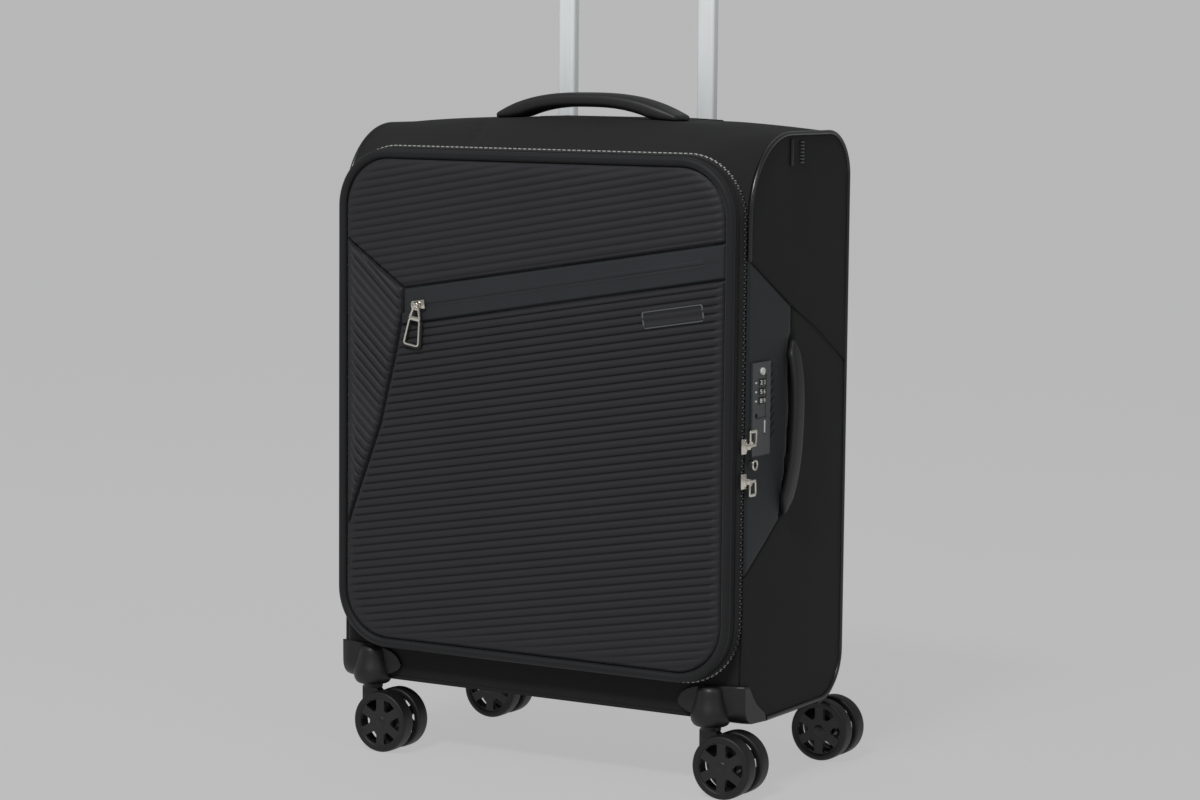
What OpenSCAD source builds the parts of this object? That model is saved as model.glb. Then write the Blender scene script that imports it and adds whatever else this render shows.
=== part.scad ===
// Softside upright suitcase with a telescopic handle and four twin-wheel casters.
// +X right (seen from the lid), +Y back, +Z up; origin on the floor under the middle of the body.

/* [Body] */
// Width across the two side panels
body_w = 394; // [390:1:398]
// Height of the body's underside above the floor
body_z = 58; // [57:0.5:60]
// Height of the body's crown above the floor
body_top = 550; // [549:0.5:552]
// Distance from the origin to the back panel
back_y = 99; // [98.5:0.5:101]
// Distance from the origin to the plane of the body's front border
front_y = 79; // [79:0.5:80]
// Thickness of a padded body wall
wall = 3; // [2.5:0.5:3.5]

/* [Lid] */
// Half width of the main zip's outline
zip_half_w = 194.5; // [193:0.5:195]
// Height of the main zip's lowest point
zip_bottom = 91; // [90:1:94]
// Height of the main zip's highest point
zip_top = 525; // [523:1:526]
// Corner radius of the main zip's outline
zip_r = 52; // [48:1:56]
// Distance from the origin to the lid's front face
lid_y = 98; // [96:0.5:99]

/* [Trolley] */
// Distance between the two tubes
tube_gap = 139.6; // [138:0.2:141]
// Distance from the origin to the tubes' centre plane
tube_y = 80; // [79.5:0.5:80.5]
// Travel of the lower tubes
lower_travel = 270; // [240:5:280]
// Travel of the upper tubes
upper_travel = 230; // [200:5:240]

/* [Casters] */
// Wheel radius
wheel_r = 26.4; // [25:0.2:26.6]
// Distance of a caster's stem from the middle plane
stem_x = 168; // [166:0.5:169]
// How far a wheel's axle trails its stem
trail = 19; // [18:0.5:20]
// Width across a twin wheel
twin_w = 37; // [36:0.5:38]

/* [Handles and lock] */
// Height of the top handle above the crown
handle_rise = 22; // [18:1:26]
// Width of the top handle
handle_w = 30; // [26:1:34]
// How far the side handle stands out
side_rise = 13; // [11:1:15]

/* [Hidden] */

$fn = 48;
half_w = body_w / 2;
side_in = half_w - wall;          // inner face of a side panel
side_top = body_top - 8;          // height of a side panel
fabric = "#2a2a2b";
rib_fabric = "#313133";
plastic = "#1d1d1e";
metal = "#cfd3d4";
nickel = "#ddd8c8";
lining_grey = "#55585b";

// ---- body shell -------------------------------------------------------------------------

// Outline of a side panel, in (Y, Z), drawn in by d
module side_outline(d) {
  front_r = 70;
  back_r = 38;
  toe_r = 18;
  hull() {
    translate([-front_y + front_r, side_top - front_r]) circle(front_r - d);
    translate([back_y - back_r, side_top - back_r]) circle(back_r - d);
    translate([back_y - heel_r, body_z + heel_r]) circle(heel_r - d);
    translate([-front_y + toe_r, body_z + toe_r]) circle(toe_r - d);
  }
}

// Rounded rectangle in (X, Z) that keeps the main zip's corners, drawn in by d
module zip_outline(d) {
  hull()
    for (s = [-1, 1], z = [zip_bottom + zip_r, zip_top - zip_r])
      translate([s * (zip_half_w - zip_r), z]) circle(zip_r - d);
}

// Stands a flat (X, Z) shape up at the depth y, thick mm deep
module upright(y, thick) {
  translate([0, y + thick, 0]) rotate([90, 0, 0]) linear_extrude(thick) children();
}

// Stands a flat (Y, Z) shape up at x, thick mm wide
module sideways(x, thick) {
  translate([x, 0, 0]) rotate([90, 0, 90]) linear_extrude(thick) children();
}

// The whole body as one soft block, drawn in by d on every side
module body_form(d) {
  crown_bars = [[110, 2], [60, 0]];
  front_corner_r = 52;
  toe_r = 26;
  hull() {
    for (s = [-1, 1]) {
      sideways(s * (half_w - d - 0.5) - 0.5, 1) side_outline(d);
      translate([s * (zip_half_w - 1 - front_corner_r), -front_y + d + 1, zip_top - front_corner_r])
        rotate([90, 0, 0]) cylinder(r = front_corner_r - d, h = 1);
      translate([s * (zip_half_w - 1 - toe_r), -front_y + d + 1, body_z + 4 + toe_r])
        rotate([90, 0, 0]) cylinder(r = toe_r - d, h = 1);
    }
    for (b = crown_bars)
      translate([-b[0], -8, body_top - b[1] - d - 1]) cube([2 * b[0], 76, 1]);
  }
}

// Keeps the part of its children between two corners
module clip(low, high) {
  intersection() {
    children();
    translate(low) cube(high - low);
  }
}

top_from = 470;      // seam of the top panel with the back panel and the front border
heel_r = 40;         // radius of the body's lower back edge
heel_to = 98;        // seam of the bottom panel with the back panel
back_in = back_y - wall;

// Room for the boss of a front caster housing
module boss_holes() {
  for (s = [-1, 1]) translate([s * stem_x, caster_y[0], 0]) cylinder(r = boss_r + 0.1, h = boss_top);
}

module side_panel(s) {
  color(fabric)
    difference() {
      sideways(s > 0 ? side_in : -half_w, wall) side_outline(0);
      if (s > 0) translate([half_w - 6, lock_y - lock_in_w / 2, lock_z - lock_in_h / 2])
        cube([12, lock_in_w, lock_in_h]);
    }
}
module side_panel_left() { side_panel(-1); }
module side_panel_right() { side_panel(1); }

module top_panel() {
  color(fabric)
    clip([-side_in, -front_y + wall, top_from], [side_in, 200, 600])
      difference() {
        body_form(0);
        body_form(wall);
        translate([-bezel_half, tube_y - bezel_d / 2, 400]) cube([2 * bezel_half, bezel_d, 200]);
      }
}

module bottom_panel() {
  color(fabric)
    difference() {
      intersection() {
        body_form(0);
        sideways(-side_in, 2 * side_in)
          difference() {
            side_outline(0);
            side_outline(wall);
            translate([-front_y, heel_to]) square([200, 500]);
            translate([-front_y - 10, 0]) square([10 + wall, 500]);
          }
      }
      boss_holes();
    }
}

module back_panel() {
  color(fabric)
    translate([-side_in, back_in, heel_to]) cube([2 * side_in, wall, top_from - heel_to]);
}

border_in = 12;      // width of the border strip inside the main zip's outline
module front_border() {
  color(fabric)
    difference() {
      clip([-side_in, -front_y, 0], [side_in, -front_y + wall, 600]) body_form(0);
      upright(-front_y - 1, wall + 2) zip_outline(border_in);
      boss_holes();
    }
}

// ---- main zip, piping, inner frame ---------------------------------------------------------

tape_t = 1.2;        // thickness of the zip's tape with its coil
// Band of zip tape that follows the outline and faces outwards
module zip_band(y, depth) {
  upright(y, depth)
    difference() {
      zip_outline(0);
      zip_outline(tape_t);
    }
}
module case_zip_tape() { color(plastic) zip_band(-front_y - 1.9, 1.9); }
module lid_zip_tape() { color(plastic) zip_band(-front_y - 10, 7.9); }

piping_d = 3.6;
module side_piping() {
  color(plastic)
    for (s = [-1, 1])
      sideways(s > 0 ? half_w : -half_w - 2, 2)
        difference() {
          side_outline(0);
          side_outline(piping_d);
          translate([-100, 0]) square([62, 93]);
        }
}

rod_r = 2.5;
// One closed rounded-rectangle rod in (X, Z) at the depth y
module rod_loop(y, half, low, high, r) {
  translate([0, y, 0]) rotate([90, 0, 0])
    for (s = [-1, 1]) {
      translate([s * half, low + r, 0]) rotate([-90, 0, 0]) cylinder(r = rod_r, h = high - low - 2 * r);
      for (z = [low, high])
        translate([-half + r, z, 0]) rotate([0, 90, 0]) cylinder(r = rod_r, h = 2 * half - 2 * r);
      for (z = [low + r, high - r])
        translate([s * (half - r), z, 0])
          rotate([0, 0, (s > 0 ? 0 : 90) + (z > low + r ? 0 : (s > 0 ? -90 : 90))])
            rotate_extrude(angle = 90) translate([r, 0]) circle(rod_r);
    }
}
module frame_rods() {
  color(metal) {
    rod_loop(-front_y + wall + rod_r + 0.5, 186, 96, 518, 46);
    rod_loop(back_in - rod_r - 0.5, 189, 98, 498, 24);
  }
}

board_y = 66;
module back_board() {
  color(lining_grey)
    translate([-185, board_y, heel_to]) cube([370, 2, 436]);
}

// ---- trolley ---------------------------------------------------------------------------------

tube_x = tube_gap / 2;
guide_size = [19.2, 13.2];
lower_size = [16.5, 10.5];
upper_size = [13.4, 7.4];
tube_wall = 0.9;
tray_z = 530;                    // floor of the bezel's tray
bezel_half = 92;
bezel_d = 23;
grip_half = 83;
grip_d = 18;
collar_h = 10;
grip_h = 24;
lower_top = tray_z + lower_travel + 0.3;
grip_z = lower_top + collar_h + upper_travel + 0.3;
guide_z = 78;
lower_len = 440;
upper_len = 430;

// Flat tube with rounded edges: width and depth from size, wall t
module flat_bar(size, h) {
  r = size[1] * 0.28;
  linear_extrude(h)
    union() {
      square([size[0] - 2 * r, size[1]], center = true);
      square([size[0], size[1] - 2 * r], center = true);
      for (x = [-1, 1], y = [-1, 1])
        translate([x * (size[0] / 2 - r), y * (size[1] / 2 - r)]) circle(r);
    }
}
module flat_tube(size, t, h) {
  difference() {
    flat_bar(size, h);
    translate([0, 0, -1]) flat_bar([size[0] - 2 * t, size[1] - 2 * t], h + 2);
  }
}
module tube_pair() {
  for (s = [-1, 1]) translate([s * tube_x, tube_y, 0]) children();
}

module trolley_guides() {
  color(metal)
    tube_pair() translate([0, 0, guide_z]) flat_tube(guide_size, tube_wall, tray_z - 4 - guide_z);
}
module trolley_bezel() {
  color(plastic)
    difference() {
      intersection() {
        body_form(-1);
        translate([-bezel_half, tube_y - bezel_d / 2, tray_z - 4]) cube([2 * bezel_half, bezel_d, 60]);
      }
      translate([-grip_half - 4, tube_y - bezel_d / 2 + 1.5, tray_z])
        cube([2 * grip_half + 8, bezel_d - 3, 60]);
      tube_pair() translate([0, 0, 500]) flat_bar([lower_size[0] + 0.5, lower_size[1] + 0.5], 60);
    }
}
module lower_tubes() {
  color(metal)
    tube_pair()
      translate([0, 0, lower_top - lower_len]) flat_tube(lower_size, tube_wall, lower_len);
}
module lower_collars() {
  color(plastic)
    tube_pair() translate([0, 0, lower_top])
      difference() {
        flat_bar([18.5, 12.5], collar_h);
        translate([0, 0, -1]) flat_bar([upper_size[0] + 0.5, upper_size[1] + 0.5], collar_h + 2);
      }
}
module upper_tubes() {
  color(metal)
    tube_pair()
      translate([0, 0, grip_z + 4 - upper_len]) flat_tube(upper_size, tube_wall, upper_len);
}
button_size = [26, 9, 5];
module grip() {
  end_r = 10;
  color(plastic)
    difference() {
      translate([0, tube_y + grip_d / 2, grip_z]) rotate([90, 0, 0])
        linear_extrude(grip_d)
          hull() {
            for (s = [-1, 1]) {
              translate([s * (grip_half - end_r), grip_h - end_r]) circle(end_r);
              translate([s * (grip_half - 4), 4]) circle(4);
            }
          }
      tube_pair() translate([0, 0, grip_z - 1]) flat_bar(upper_size, 5);
      translate([0, tube_y, grip_z + grip_h - 2.5]) cube(button_size + [0.6, 0.6, 6], center = true);
    }
}
module grip_button() {
  color("#3a3a3c")
    translate([-button_size[0] / 2, tube_y - button_size[1] / 2, grip_z + grip_h - 2])
      cube([button_size[0], button_size[1], 4]);
}

// ---- carry handles -----------------------------------------------------------------------------

// Arch band: height of a curve over a span, from 1 in the middle to 0 at the ends
function arch(u, p) = 1 - pow(abs(u), p);
module arch_band(span, rise, gap_span, gap_rise, thick) {
  steps = 24;
  linear_extrude(thick)
    polygon(concat(
      [for (i = [0:steps]) let (u = -1 + 2 * i / steps) [u * span, 3 + (rise - 3) * arch(u, 2.6)]],
      [[span, 0], [gap_span, 0]],
      [for (i = [1:steps - 1]) let (u = 1 - 2 * i / steps) [u * gap_span, gap_rise * arch(u, 2.6)]],
      [[-gap_span, 0], [-span, 0]]));
}

top_handle_x = -5;
top_handle_y = 10;
module top_handle() {
  color(plastic)
    translate([top_handle_x, top_handle_y + handle_w / 2, body_top]) rotate([90, 0, 0])
      arch_band(92, handle_rise, 64, handle_rise - 12.5, handle_w);
}

side_handle_y = -8;
side_handle_z = 299.5;
side_handle_lean = 4.7;
module side_handle() {
  color(plastic)
    translate([half_w, side_handle_y, side_handle_z]) rotate([-side_handle_lean, 0, 0])
      translate([0, 7, 0]) rotate([90, 90, 0]) arch_band(73, side_rise, 58, side_rise - 6, 14);
}

// ---- lock ------------------------------------------------------------------------------------------

lock_y = -57;
lock_z = 318.5;
lock_w = 31;
lock_h = 77;
lock_in_w = 25;
lock_in_h = 70;
dial_z = [340.5, 333, 325.5];
dial_r = 6;
dial_h = 5;
dial_x = half_w - 1.6;
pin_r = 1.2;
release_z = 349.5;
ring_y = -71;
module lock_body() {
  color(plastic) {
    difference() {
      union() {
        translate([half_w, lock_y - lock_w / 2, lock_z - lock_h / 2]) cube([1.8, lock_w, lock_h]);
        translate([half_w - 11, lock_y - lock_in_w / 2, lock_z - lock_in_h / 2])
          cube([11.1, lock_in_w, lock_in_h]);
      }
      for (z = dial_z)
        translate([dial_x, lock_y, z - dial_h / 2 - 0.3]) cylinder(r = dial_r + 0.4, h = dial_h + 0.6);
      translate([half_w - 5, lock_y, release_z]) rotate([0, 90, 0]) cylinder(r = 3.3, h = 12);
      // key hole, and the slot that takes the pulls
      translate([half_w - 6, lock_y - 9, lock_z - 5]) rotate([0, 90, 0]) cylinder(r = 2, h = 12);
      translate([half_w - 4, lock_y + 5, lock_z - 21]) cube([12, 1.6, 12]);
    }
    translate([dial_x, lock_y, dial_z[2] - 3.5]) cylinder(r = pin_r, h = dial_z[0] - dial_z[2] + 7);
  }
  // ring post for a padlock beside the zip
  color(nickel)
    difference() {
      union() {
        translate([half_w, ring_y - 4, 271]) cube([1.5, 8, 6]);
        translate([half_w + 1.4, ring_y, 274]) rotate([0, 90, 0]) cylinder(r = 4, h = 2.6);
      }
      translate([half_w + 1.5, ring_y, 274]) rotate([0, 90, 0]) cylinder(r = 2.2, h = 4);
    }
}
module lock_dial(i) {
  notches = 10;
  color("#4a4a4c")
    difference() {
      translate([dial_x, lock_y, dial_z[i] - dial_h / 2]) cylinder(r = dial_r, h = dial_h);
      translate([dial_x, lock_y, 0]) cylinder(r = pin_r + 0.05, h = 400);
      for (k = [0:notches - 1])
        translate([dial_x, lock_y, 0])
          rotate(36 * k + 18)
            translate([dial_r + 0.5, 0, 0]) cylinder(r = 0.9, h = 400);
    }
}
module lock_dial_1() { lock_dial(0); }
module lock_dial_2() { lock_dial(1); }
module lock_dial_3() { lock_dial(2); }
module lock_release() {
  color("#e8e8e8")
    translate([half_w - 2.5, lock_y, release_z]) rotate([0, 90, 0]) cylinder(r = 3, h = 6);
}

tab_z = 516;
tab_size = [2, 4, 20];
comb_size = [1.6, 3.5, 2];
comb_step = 2.8;

module side_tabs() {
  color(plastic) {
    translate([half_w, -10, tab_z]) cube(tab_size);
    for (i = [0:6])
      translate([half_w, 9.5, tab_z + 0.5 + i * comb_step]) cube(comb_size);
  }
}

// ---- casters ---------------------------------------------------------------------------------------

housing_t = 3.3;     // thickness of the moulded shell round the body's corner
boss_r = 16;
boss_z = 57;
boss_top = 84;
stem_r = 8.5;
bore_r = 6;
bore_h = 16.5;
caster_y = [-79.5, 98];

// S-shaped wing that a front housing lays round the body's corner
module wing_region(s) {
  intersection() {
    sideways(s > 0 ? 100 : -210, 110)
      polygon([[-100, boss_z], [-100, 89.5], [-77, 91.5], [-70, 88], [-61, 77], [-51, 67.5], [-41, 62],
        [-41, boss_z]]);
    upright(-100, 70)
      polygon([
        for (q = [[138, boss_z], [138, 74], [144, 81], [154, 87], [166, 90], [205, 92], [205, boss_z]])
          [s * q[0], q[1]]
      ]);
  }
}
// Boss with the blind bore for a caster's stem
module boss(s, cy) {
  translate([s * stem_x, cy, boss_z]) cylinder(r = boss_r, h = boss_top - boss_z);
}
module stem_bore(s, cy) {
  translate([s * stem_x, cy, boss_z - 1]) cylinder(r = bore_r, h = bore_h + 1);
}
module front_housing(s) {
  color(plastic)
    difference() {
      union() {
        difference() {
          intersection() {
            body_form(-housing_t);
            wing_region(s);
          }
          body_form(0);
        }
        boss(s, caster_y[0]);
      }
      stem_bore(s, caster_y[0]);
    }
}
// Moulded guard round the heel of the body, with a boss under it
module back_housing(s) {
  guard_w = 60;
  guard_top = 95;
  inner = half_w - guard_w;
  color(plastic)
    difference() {
      union() {
        sideways(s > 0 ? inner : -half_w, guard_w)
          intersection() {
            translate([back_y - heel_r, body_z + heel_r]) circle(heel_r + housing_t);
            translate([back_y - heel_r, 0]) square([100, guard_top]);
          }
        boss(s, caster_y[1]);
      }
      sideways(s > 0 ? inner - 10 : -half_w - 10, guard_w + 20)
        translate([back_y - heel_r, body_z + heel_r]) circle(heel_r);
      stem_bore(s, caster_y[1]);
    }
}
module wheel_housing_front_left() { front_housing(-1); }
module wheel_housing_front_right() { front_housing(1); }
module wheel_housing_back_left() { back_housing(-1); }
module wheel_housing_back_right() { back_housing(1); }

module housing_screws() {
  color(metal)
    for (s = [-1, 1], y = [-56, 48], x = [-16, 12])
      translate([s * (stem_x + x), y, body_z + wall]) cylinder(r = 3, h = 2);
}

fork_w = 8;
axle_r = 2.5;
stem_z = 2 * wheel_r + 0.4;      // the stem ends just above the wheels
module caster_fork(s, back) {
  cy = caster_y[back ? 1 : 0];
  color(plastic)
    translate([s * stem_x, cy, 0])
      difference() {
        union() {
          translate([0, 0, stem_z]) cylinder(r = stem_r, h = boss_z - 0.4 - stem_z);
          translate([0, 0, stem_z]) cylinder(r = bore_r - 0.05, h = boss_z + bore_h - 1 - stem_z);
          translate([0, fork_w / 2, 0]) rotate([90, 0, 0])
            linear_extrude(fork_w)
              hull() {
                translate([trail, wheel_r]) circle(9);
                translate([-stem_r, 38]) square([14, stem_z - 37.5]);
              }
        }
        translate([trail, -20, wheel_r]) rotate([-90, 0, 0]) cylinder(r = axle_r, h = 40);
      }
}
module caster_fork_front_left() { caster_fork(-1, false); }
module caster_fork_front_right() { caster_fork(1, false); }
module caster_fork_back_left() { caster_fork(-1, true); }
module caster_fork_back_right() { caster_fork(1, true); }

module caster_axle(s, back) {
  color(metal)
    translate([s * stem_x + trail, caster_y[back ? 1 : 0] - twin_w / 2 + 2.5, wheel_r]) rotate([-90, 0, 0])
      cylinder(r = axle_r, h = twin_w - 5);
}
module caster_axle_front_left() { caster_axle(-1, false); }
module caster_axle_front_right() { caster_axle(1, false); }
module caster_axle_back_left() { caster_axle(-1, true); }
module caster_axle_back_right() { caster_axle(1, true); }

wheel_w = (twin_w - fork_w - 1) / 2;
// One disc with six windows. side -1 is the front disc of the pair
module wheel(s, back, side) {
  cy = caster_y[back ? 1 : 0];
  y = side < 0 ? cy - twin_w / 2 : cy + twin_w / 2 - wheel_w;
  window_out = 19.5;
  window_in = 9.5;
  color(plastic)
    translate([s * stem_x + trail, y, wheel_r]) rotate([-90, 0, 0])
      difference() {
        cylinder(r = wheel_r, h = wheel_w);
        translate([0, 0, -1]) cylinder(r = axle_r + 0.06, h = wheel_w + 2);
        for (k = [0:5])
          rotate(60 * k + 30) translate([0, 0, -1])
            linear_extrude(wheel_w + 2)
              polygon([[window_in, -1.8], [window_out, -6.2], [window_out + 1.2, 0], [window_out, 6.2],
                [window_in, 1.8]]);
      }
}
module wheel_front_left_a() { wheel(-1, false, -1); }
module wheel_front_left_b() { wheel(-1, false, 1); }
module wheel_front_right_a() { wheel(1, false, -1); }
module wheel_front_right_b() { wheel(1, false, 1); }
module wheel_back_left_a() { wheel(-1, true, -1); }
module wheel_back_left_b() { wheel(-1, true, 1); }
module wheel_back_right_a() { wheel(1, true, -1); }
module wheel_back_right_b() { wheel(1, true, 1); }

// ---- inside ------------------------------------------------------------------------------------------

strap_y = board_y - 2.4;
strap_lean = 32;
strap_len = 300;
module packing_straps() {
  color(lining_grey)
    for (s = [-1, 1])
      translate([s * 88, strap_y, 300]) rotate([0, s * strap_lean, 0])
        for (e = [-1, 1]) translate([0, 0, e * (strap_len / 4 + 12)])
          translate([-12.5, 0, -strap_len / 4 + 10]) cube([25, 1.2, strap_len / 2 - 20]);
}
module strap_buckle() {
  color(plastic)
    for (s = [-1, 1])
      translate([s * 88, strap_y - 2.6, 300]) rotate([0, s * strap_lean, 0])
        translate([-16, 0, -21]) cube([32, 3.8, 42]);
}

// ---- lid -------------------------------------------------------------------------------------------------

lid_edge = 3;
module lid_panel() {
  color(rib_fabric) upright(-lid_y + 1.5, 9.5) zip_outline(lid_edge);
}
module lid_lining() {
  color(lining_grey) upright(-lid_y + 11.2, 2.6) zip_outline(lid_edge + 2);
}
module lid_piping() {
  bead = 5.2;
  color(plastic)
    upright(-lid_y - 0.8, 2.2)
      difference() {
        zip_outline(lid_edge - 0.6);
        zip_outline(lid_edge - 0.6 + bead);
      }
}

pocket_tilt = 9.5;
pocket_left = [-109, 391.5];
pocket_len = 290;
// Places children on the lid's face at the left end of the pocket zip, X along the zip, Z outwards
module on_pocket_zip() {
  translate([pocket_left[0], -lid_y + 1.5, pocket_left[1]]) rotate([90, -pocket_tilt, 0]) children();
}
module pocket_zip_tape() {
  color(plastic) on_pocket_zip() translate([-4, -3, 0]) cube([pocket_len + 8, 6, 1]);
}
pull_bar_z = 5.1;    // height of the slider's bar above the lid's face
pull_bar_r = 1.1;
pull_lean = 19;      // how far the hanging pull leans from square to its zip
module pocket_slider() {
  color(nickel)
    on_pocket_zip() {
      translate([-6.5, -4, 1.1]) cube([13, 8, 2.2]);
      for (x = [-4.2, 3]) translate([x, -1.2, 3]) cube([1.2, 2.4, 3.2]);
      translate([-3.5, 0, pull_bar_z]) rotate([0, 90, 0]) cylinder(r = pull_bar_r, h = 7);
    }
}
module pocket_pull() {
  eye_w = 4.8;
  color(nickel)
    on_pocket_zip()
      difference() {
        union() {
          translate([-eye_w / 2, 0, pull_bar_z]) rotate([0, 90, 0]) cylinder(r = 2.4 - 0.6, h = eye_w);
          rotate([0, 0, -pull_lean])
            translate([-eye_w / 2, -12, pull_bar_z - 0.9]) cube([eye_w, 11.6, 1.8]);
        }
        translate([-10, 0, pull_bar_z]) rotate([0, 90, 0]) cylinder(r = pull_bar_r + 0.08, h = 20);
      }
  color(plastic)
    on_pocket_zip() rotate([0, 0, -pull_lean])
      translate([-5, -40, pull_bar_z - 1.1]) cube([10, 28, 2.2]);
}
badge_size = [58, 15, 1.6];
module badge() {
  color(plastic)
    translate([109.5, -lid_y + 1.5, 389]) rotate([90, -pocket_tilt, 0])
      translate([0, -badge_size[1] / 2, 0]) cube(badge_size);
}

// ---- main zip sliders -----------------------------------------------------------------------------------

slider_h = 13;
slider_in = zip_half_w + 0.5;    // inner face of a slider's body
pin_x = slider_in + 5.2;         // axis of a pull's crossbar
bridge_y = -front_y - 2;
module zip_slider(z) {
  color(nickel)
    difference() {
      union() {
        translate([slider_in, -front_y - 7.9, z - slider_h / 2]) cube([3.2, 7.8, slider_h]);
        translate([slider_in + 3.1, bridge_y - 1.5, z - 2.2]) cube([3.4, 3, 4.4]);
      }
      translate([pin_x, bridge_y - 6, z]) rotate([-90, 0, 0]) cylinder(r = 0.88, h = 12);
    }
}
upper_slider_z = 290;
lower_slider_z = 261.5;
module zip_slider_upper() { zip_slider(upper_slider_z); }
module zip_slider_lower() { zip_slider(lower_slider_z); }

// Open frame on a crossbar, lying over the side panel; up is 1 or -1
module zip_pull(z, up) {
  frame_w = 11;
  frame_h = 13;
  bar = 1.6;
  color(nickel)
    translate([pin_x, 0, z]) {
      translate([0, bridge_y - 2.6, 0]) rotate([-90, 0, 0]) cylinder(r = 0.8, h = frame_w + 4.6);
      translate([0, bridge_y + 2, 0]) mirror([0, 0, up > 0 ? 0 : 1])
        difference() {
          translate([-0.8, 0, -0.8]) cube([1.6, frame_w, frame_h]);
          translate([-2, bar, bar]) cube([4, frame_w - 2 * bar, frame_h - 2 * bar - 0.8]);
        }
    }
}
module zip_pull_upper() { zip_pull(upper_slider_z, 1); }
module zip_pull_lower() { zip_pull(lower_slider_z, -1); }

side_panel_left();
side_panel_right();
top_panel();
bottom_panel();
back_panel();
front_border();
case_zip_tape();
side_piping();
frame_rods();
back_board();
trolley_guides();
trolley_bezel();
top_handle();
side_handle();
lock_body();
side_tabs();
strap_buckle();
wheel_housing_front_left();
wheel_housing_front_right();
wheel_housing_back_left();
wheel_housing_back_right();
housing_screws();
packing_straps();
lid_panel();
lid_lining();
lid_piping();
lid_zip_tape();
pocket_zip_tape();
badge();
pocket_slider();
pocket_pull();
zip_slider_upper();
zip_slider_lower();
zip_pull_upper();
zip_pull_lower();
lock_dial_1();
lock_dial_2();
lock_dial_3();
lock_release();
lower_tubes();
lower_collars();
upper_tubes();
grip();
grip_button();
caster_fork_front_left();
caster_fork_front_right();
caster_fork_back_left();
caster_fork_back_right();
caster_axle_front_left();
caster_axle_front_right();
caster_axle_back_left();
caster_axle_back_right();
wheel_front_left_a();
wheel_front_left_b();
wheel_front_right_a();
wheel_front_right_b();
wheel_back_left_a();
wheel_back_left_b();
wheel_back_right_a();
wheel_back_right_b();
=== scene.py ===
import math

import bmesh
import bpy
from mathutils import Matrix, Vector
from mathutils.bvhtree import BVHTree


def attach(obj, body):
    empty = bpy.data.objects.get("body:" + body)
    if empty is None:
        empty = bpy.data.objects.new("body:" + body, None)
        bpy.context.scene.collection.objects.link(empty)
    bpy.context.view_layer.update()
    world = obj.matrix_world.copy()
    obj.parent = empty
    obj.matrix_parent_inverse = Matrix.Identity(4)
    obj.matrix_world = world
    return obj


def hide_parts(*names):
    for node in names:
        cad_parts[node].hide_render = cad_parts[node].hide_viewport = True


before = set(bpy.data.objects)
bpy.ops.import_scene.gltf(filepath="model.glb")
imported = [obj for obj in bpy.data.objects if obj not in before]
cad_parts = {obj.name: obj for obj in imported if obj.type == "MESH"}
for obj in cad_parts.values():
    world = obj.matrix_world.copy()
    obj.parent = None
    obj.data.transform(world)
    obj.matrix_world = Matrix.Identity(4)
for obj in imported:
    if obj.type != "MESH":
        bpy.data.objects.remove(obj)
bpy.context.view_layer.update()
scene = bpy.context.scene
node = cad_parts

# ---- Studio --------------------------------------------------------------------------------------
# A pale grey paper floor that bends up into a wall far off on every side, three soft lamps, and
# a long lens a little above the height of the body.


def linear(colour):
    """sRGB hex colour as linear red, green, blue and alpha."""
    parts = [int(colour[i:i + 2], 16) / 255 for i in (1, 3, 5)]
    return tuple(c / 12.92 if c <= 0.04045 else ((c + 0.055) / 1.055) ** 2.4 for c in parts) + (1.0,)


def add_node(material, kind, settings=None, inputs=None):
    """Adds a node with its settings; an input is a value, or a node and its output's name."""
    made = material.node_tree.nodes.new(kind)
    for key, value in (settings or {}).items():
        setattr(made, key, value)
    for key, value in (inputs or {}).items():
        if isinstance(value, tuple) and isinstance(value[0], bpy.types.Node):
            material.node_tree.links.new(value[0].outputs[value[1]], made.inputs[key])
        else:
            made.inputs[key].default_value = value
    return made


def new_material(name, **constants):
    """A material whose shader has these constants on its own sockets."""
    material = bpy.data.materials.new(name)
    material.use_nodes = True
    shader = material.node_tree.nodes["Principled BSDF"]
    for key, value in constants.items():
        shader.inputs[key.replace("_", " ")].default_value = value
    return material, shader


def into_shader(material, shader, socket, source, output):
    material.node_tree.links.new(source.outputs[output], shader.inputs[socket])


def link_object(name, mesh):
    made = bpy.data.objects.new(name, mesh)
    scene.collection.objects.link(made)
    return made


def spin_outline(bm, points, centre, axis, steps, closed=True):
    """Spins the outline through points once round an axis."""
    verts = [bm.verts.new(p) for p in points]
    ends = verts[1:] + verts[:1] if closed else verts[1:]
    edges = [bm.edges.new(pair) for pair in zip(verts, ends)]
    bmesh.ops.spin(bm, geom=verts + edges, cent=centre, axis=axis, angle=math.tau, steps=steps,
                   use_merge=True)


PAPER, PAPER_LIGHT = "#575757", "#b8b8b8"
FLOOR_R, BEND_R, WALL_H, PAPER_STEPS = 5.0, 2.0, 5.0, 96


def paper_part(name, profile):
    """A round piece of the studio's paper, spun from (radius, height) points in metres."""
    bm = bmesh.new()
    spin_outline(bm, [(radius, 0, height) for radius, height in profile], (0, 0, 0), (0, 0, 1), PAPER_STEPS,
                 False)
    bmesh.ops.remove_doubles(bm, verts=bm.verts, dist=0.0001)
    bmesh.ops.reverse_faces(bm, faces=[f for f in bm.faces if f.normal.z < 0])
    mesh = bpy.data.meshes.new(name)
    bm.to_mesh(mesh)
    bm.free()
    for polygon in mesh.polygons:
        polygon.use_smooth = True
    return link_object(name, mesh)


floor = paper_part("paper_floor", [(FLOOR_R * k / 10, 0) for k in range(11)])
bend = [(FLOOR_R + BEND_R * math.sin(math.radians(5 * k)), BEND_R * (1 - math.cos(math.radians(5 * k))))
        for k in range(19)]
wall = paper_part("paper_wall", bend + [(FLOOR_R + BEND_R, BEND_R + WALL_H)])
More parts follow.
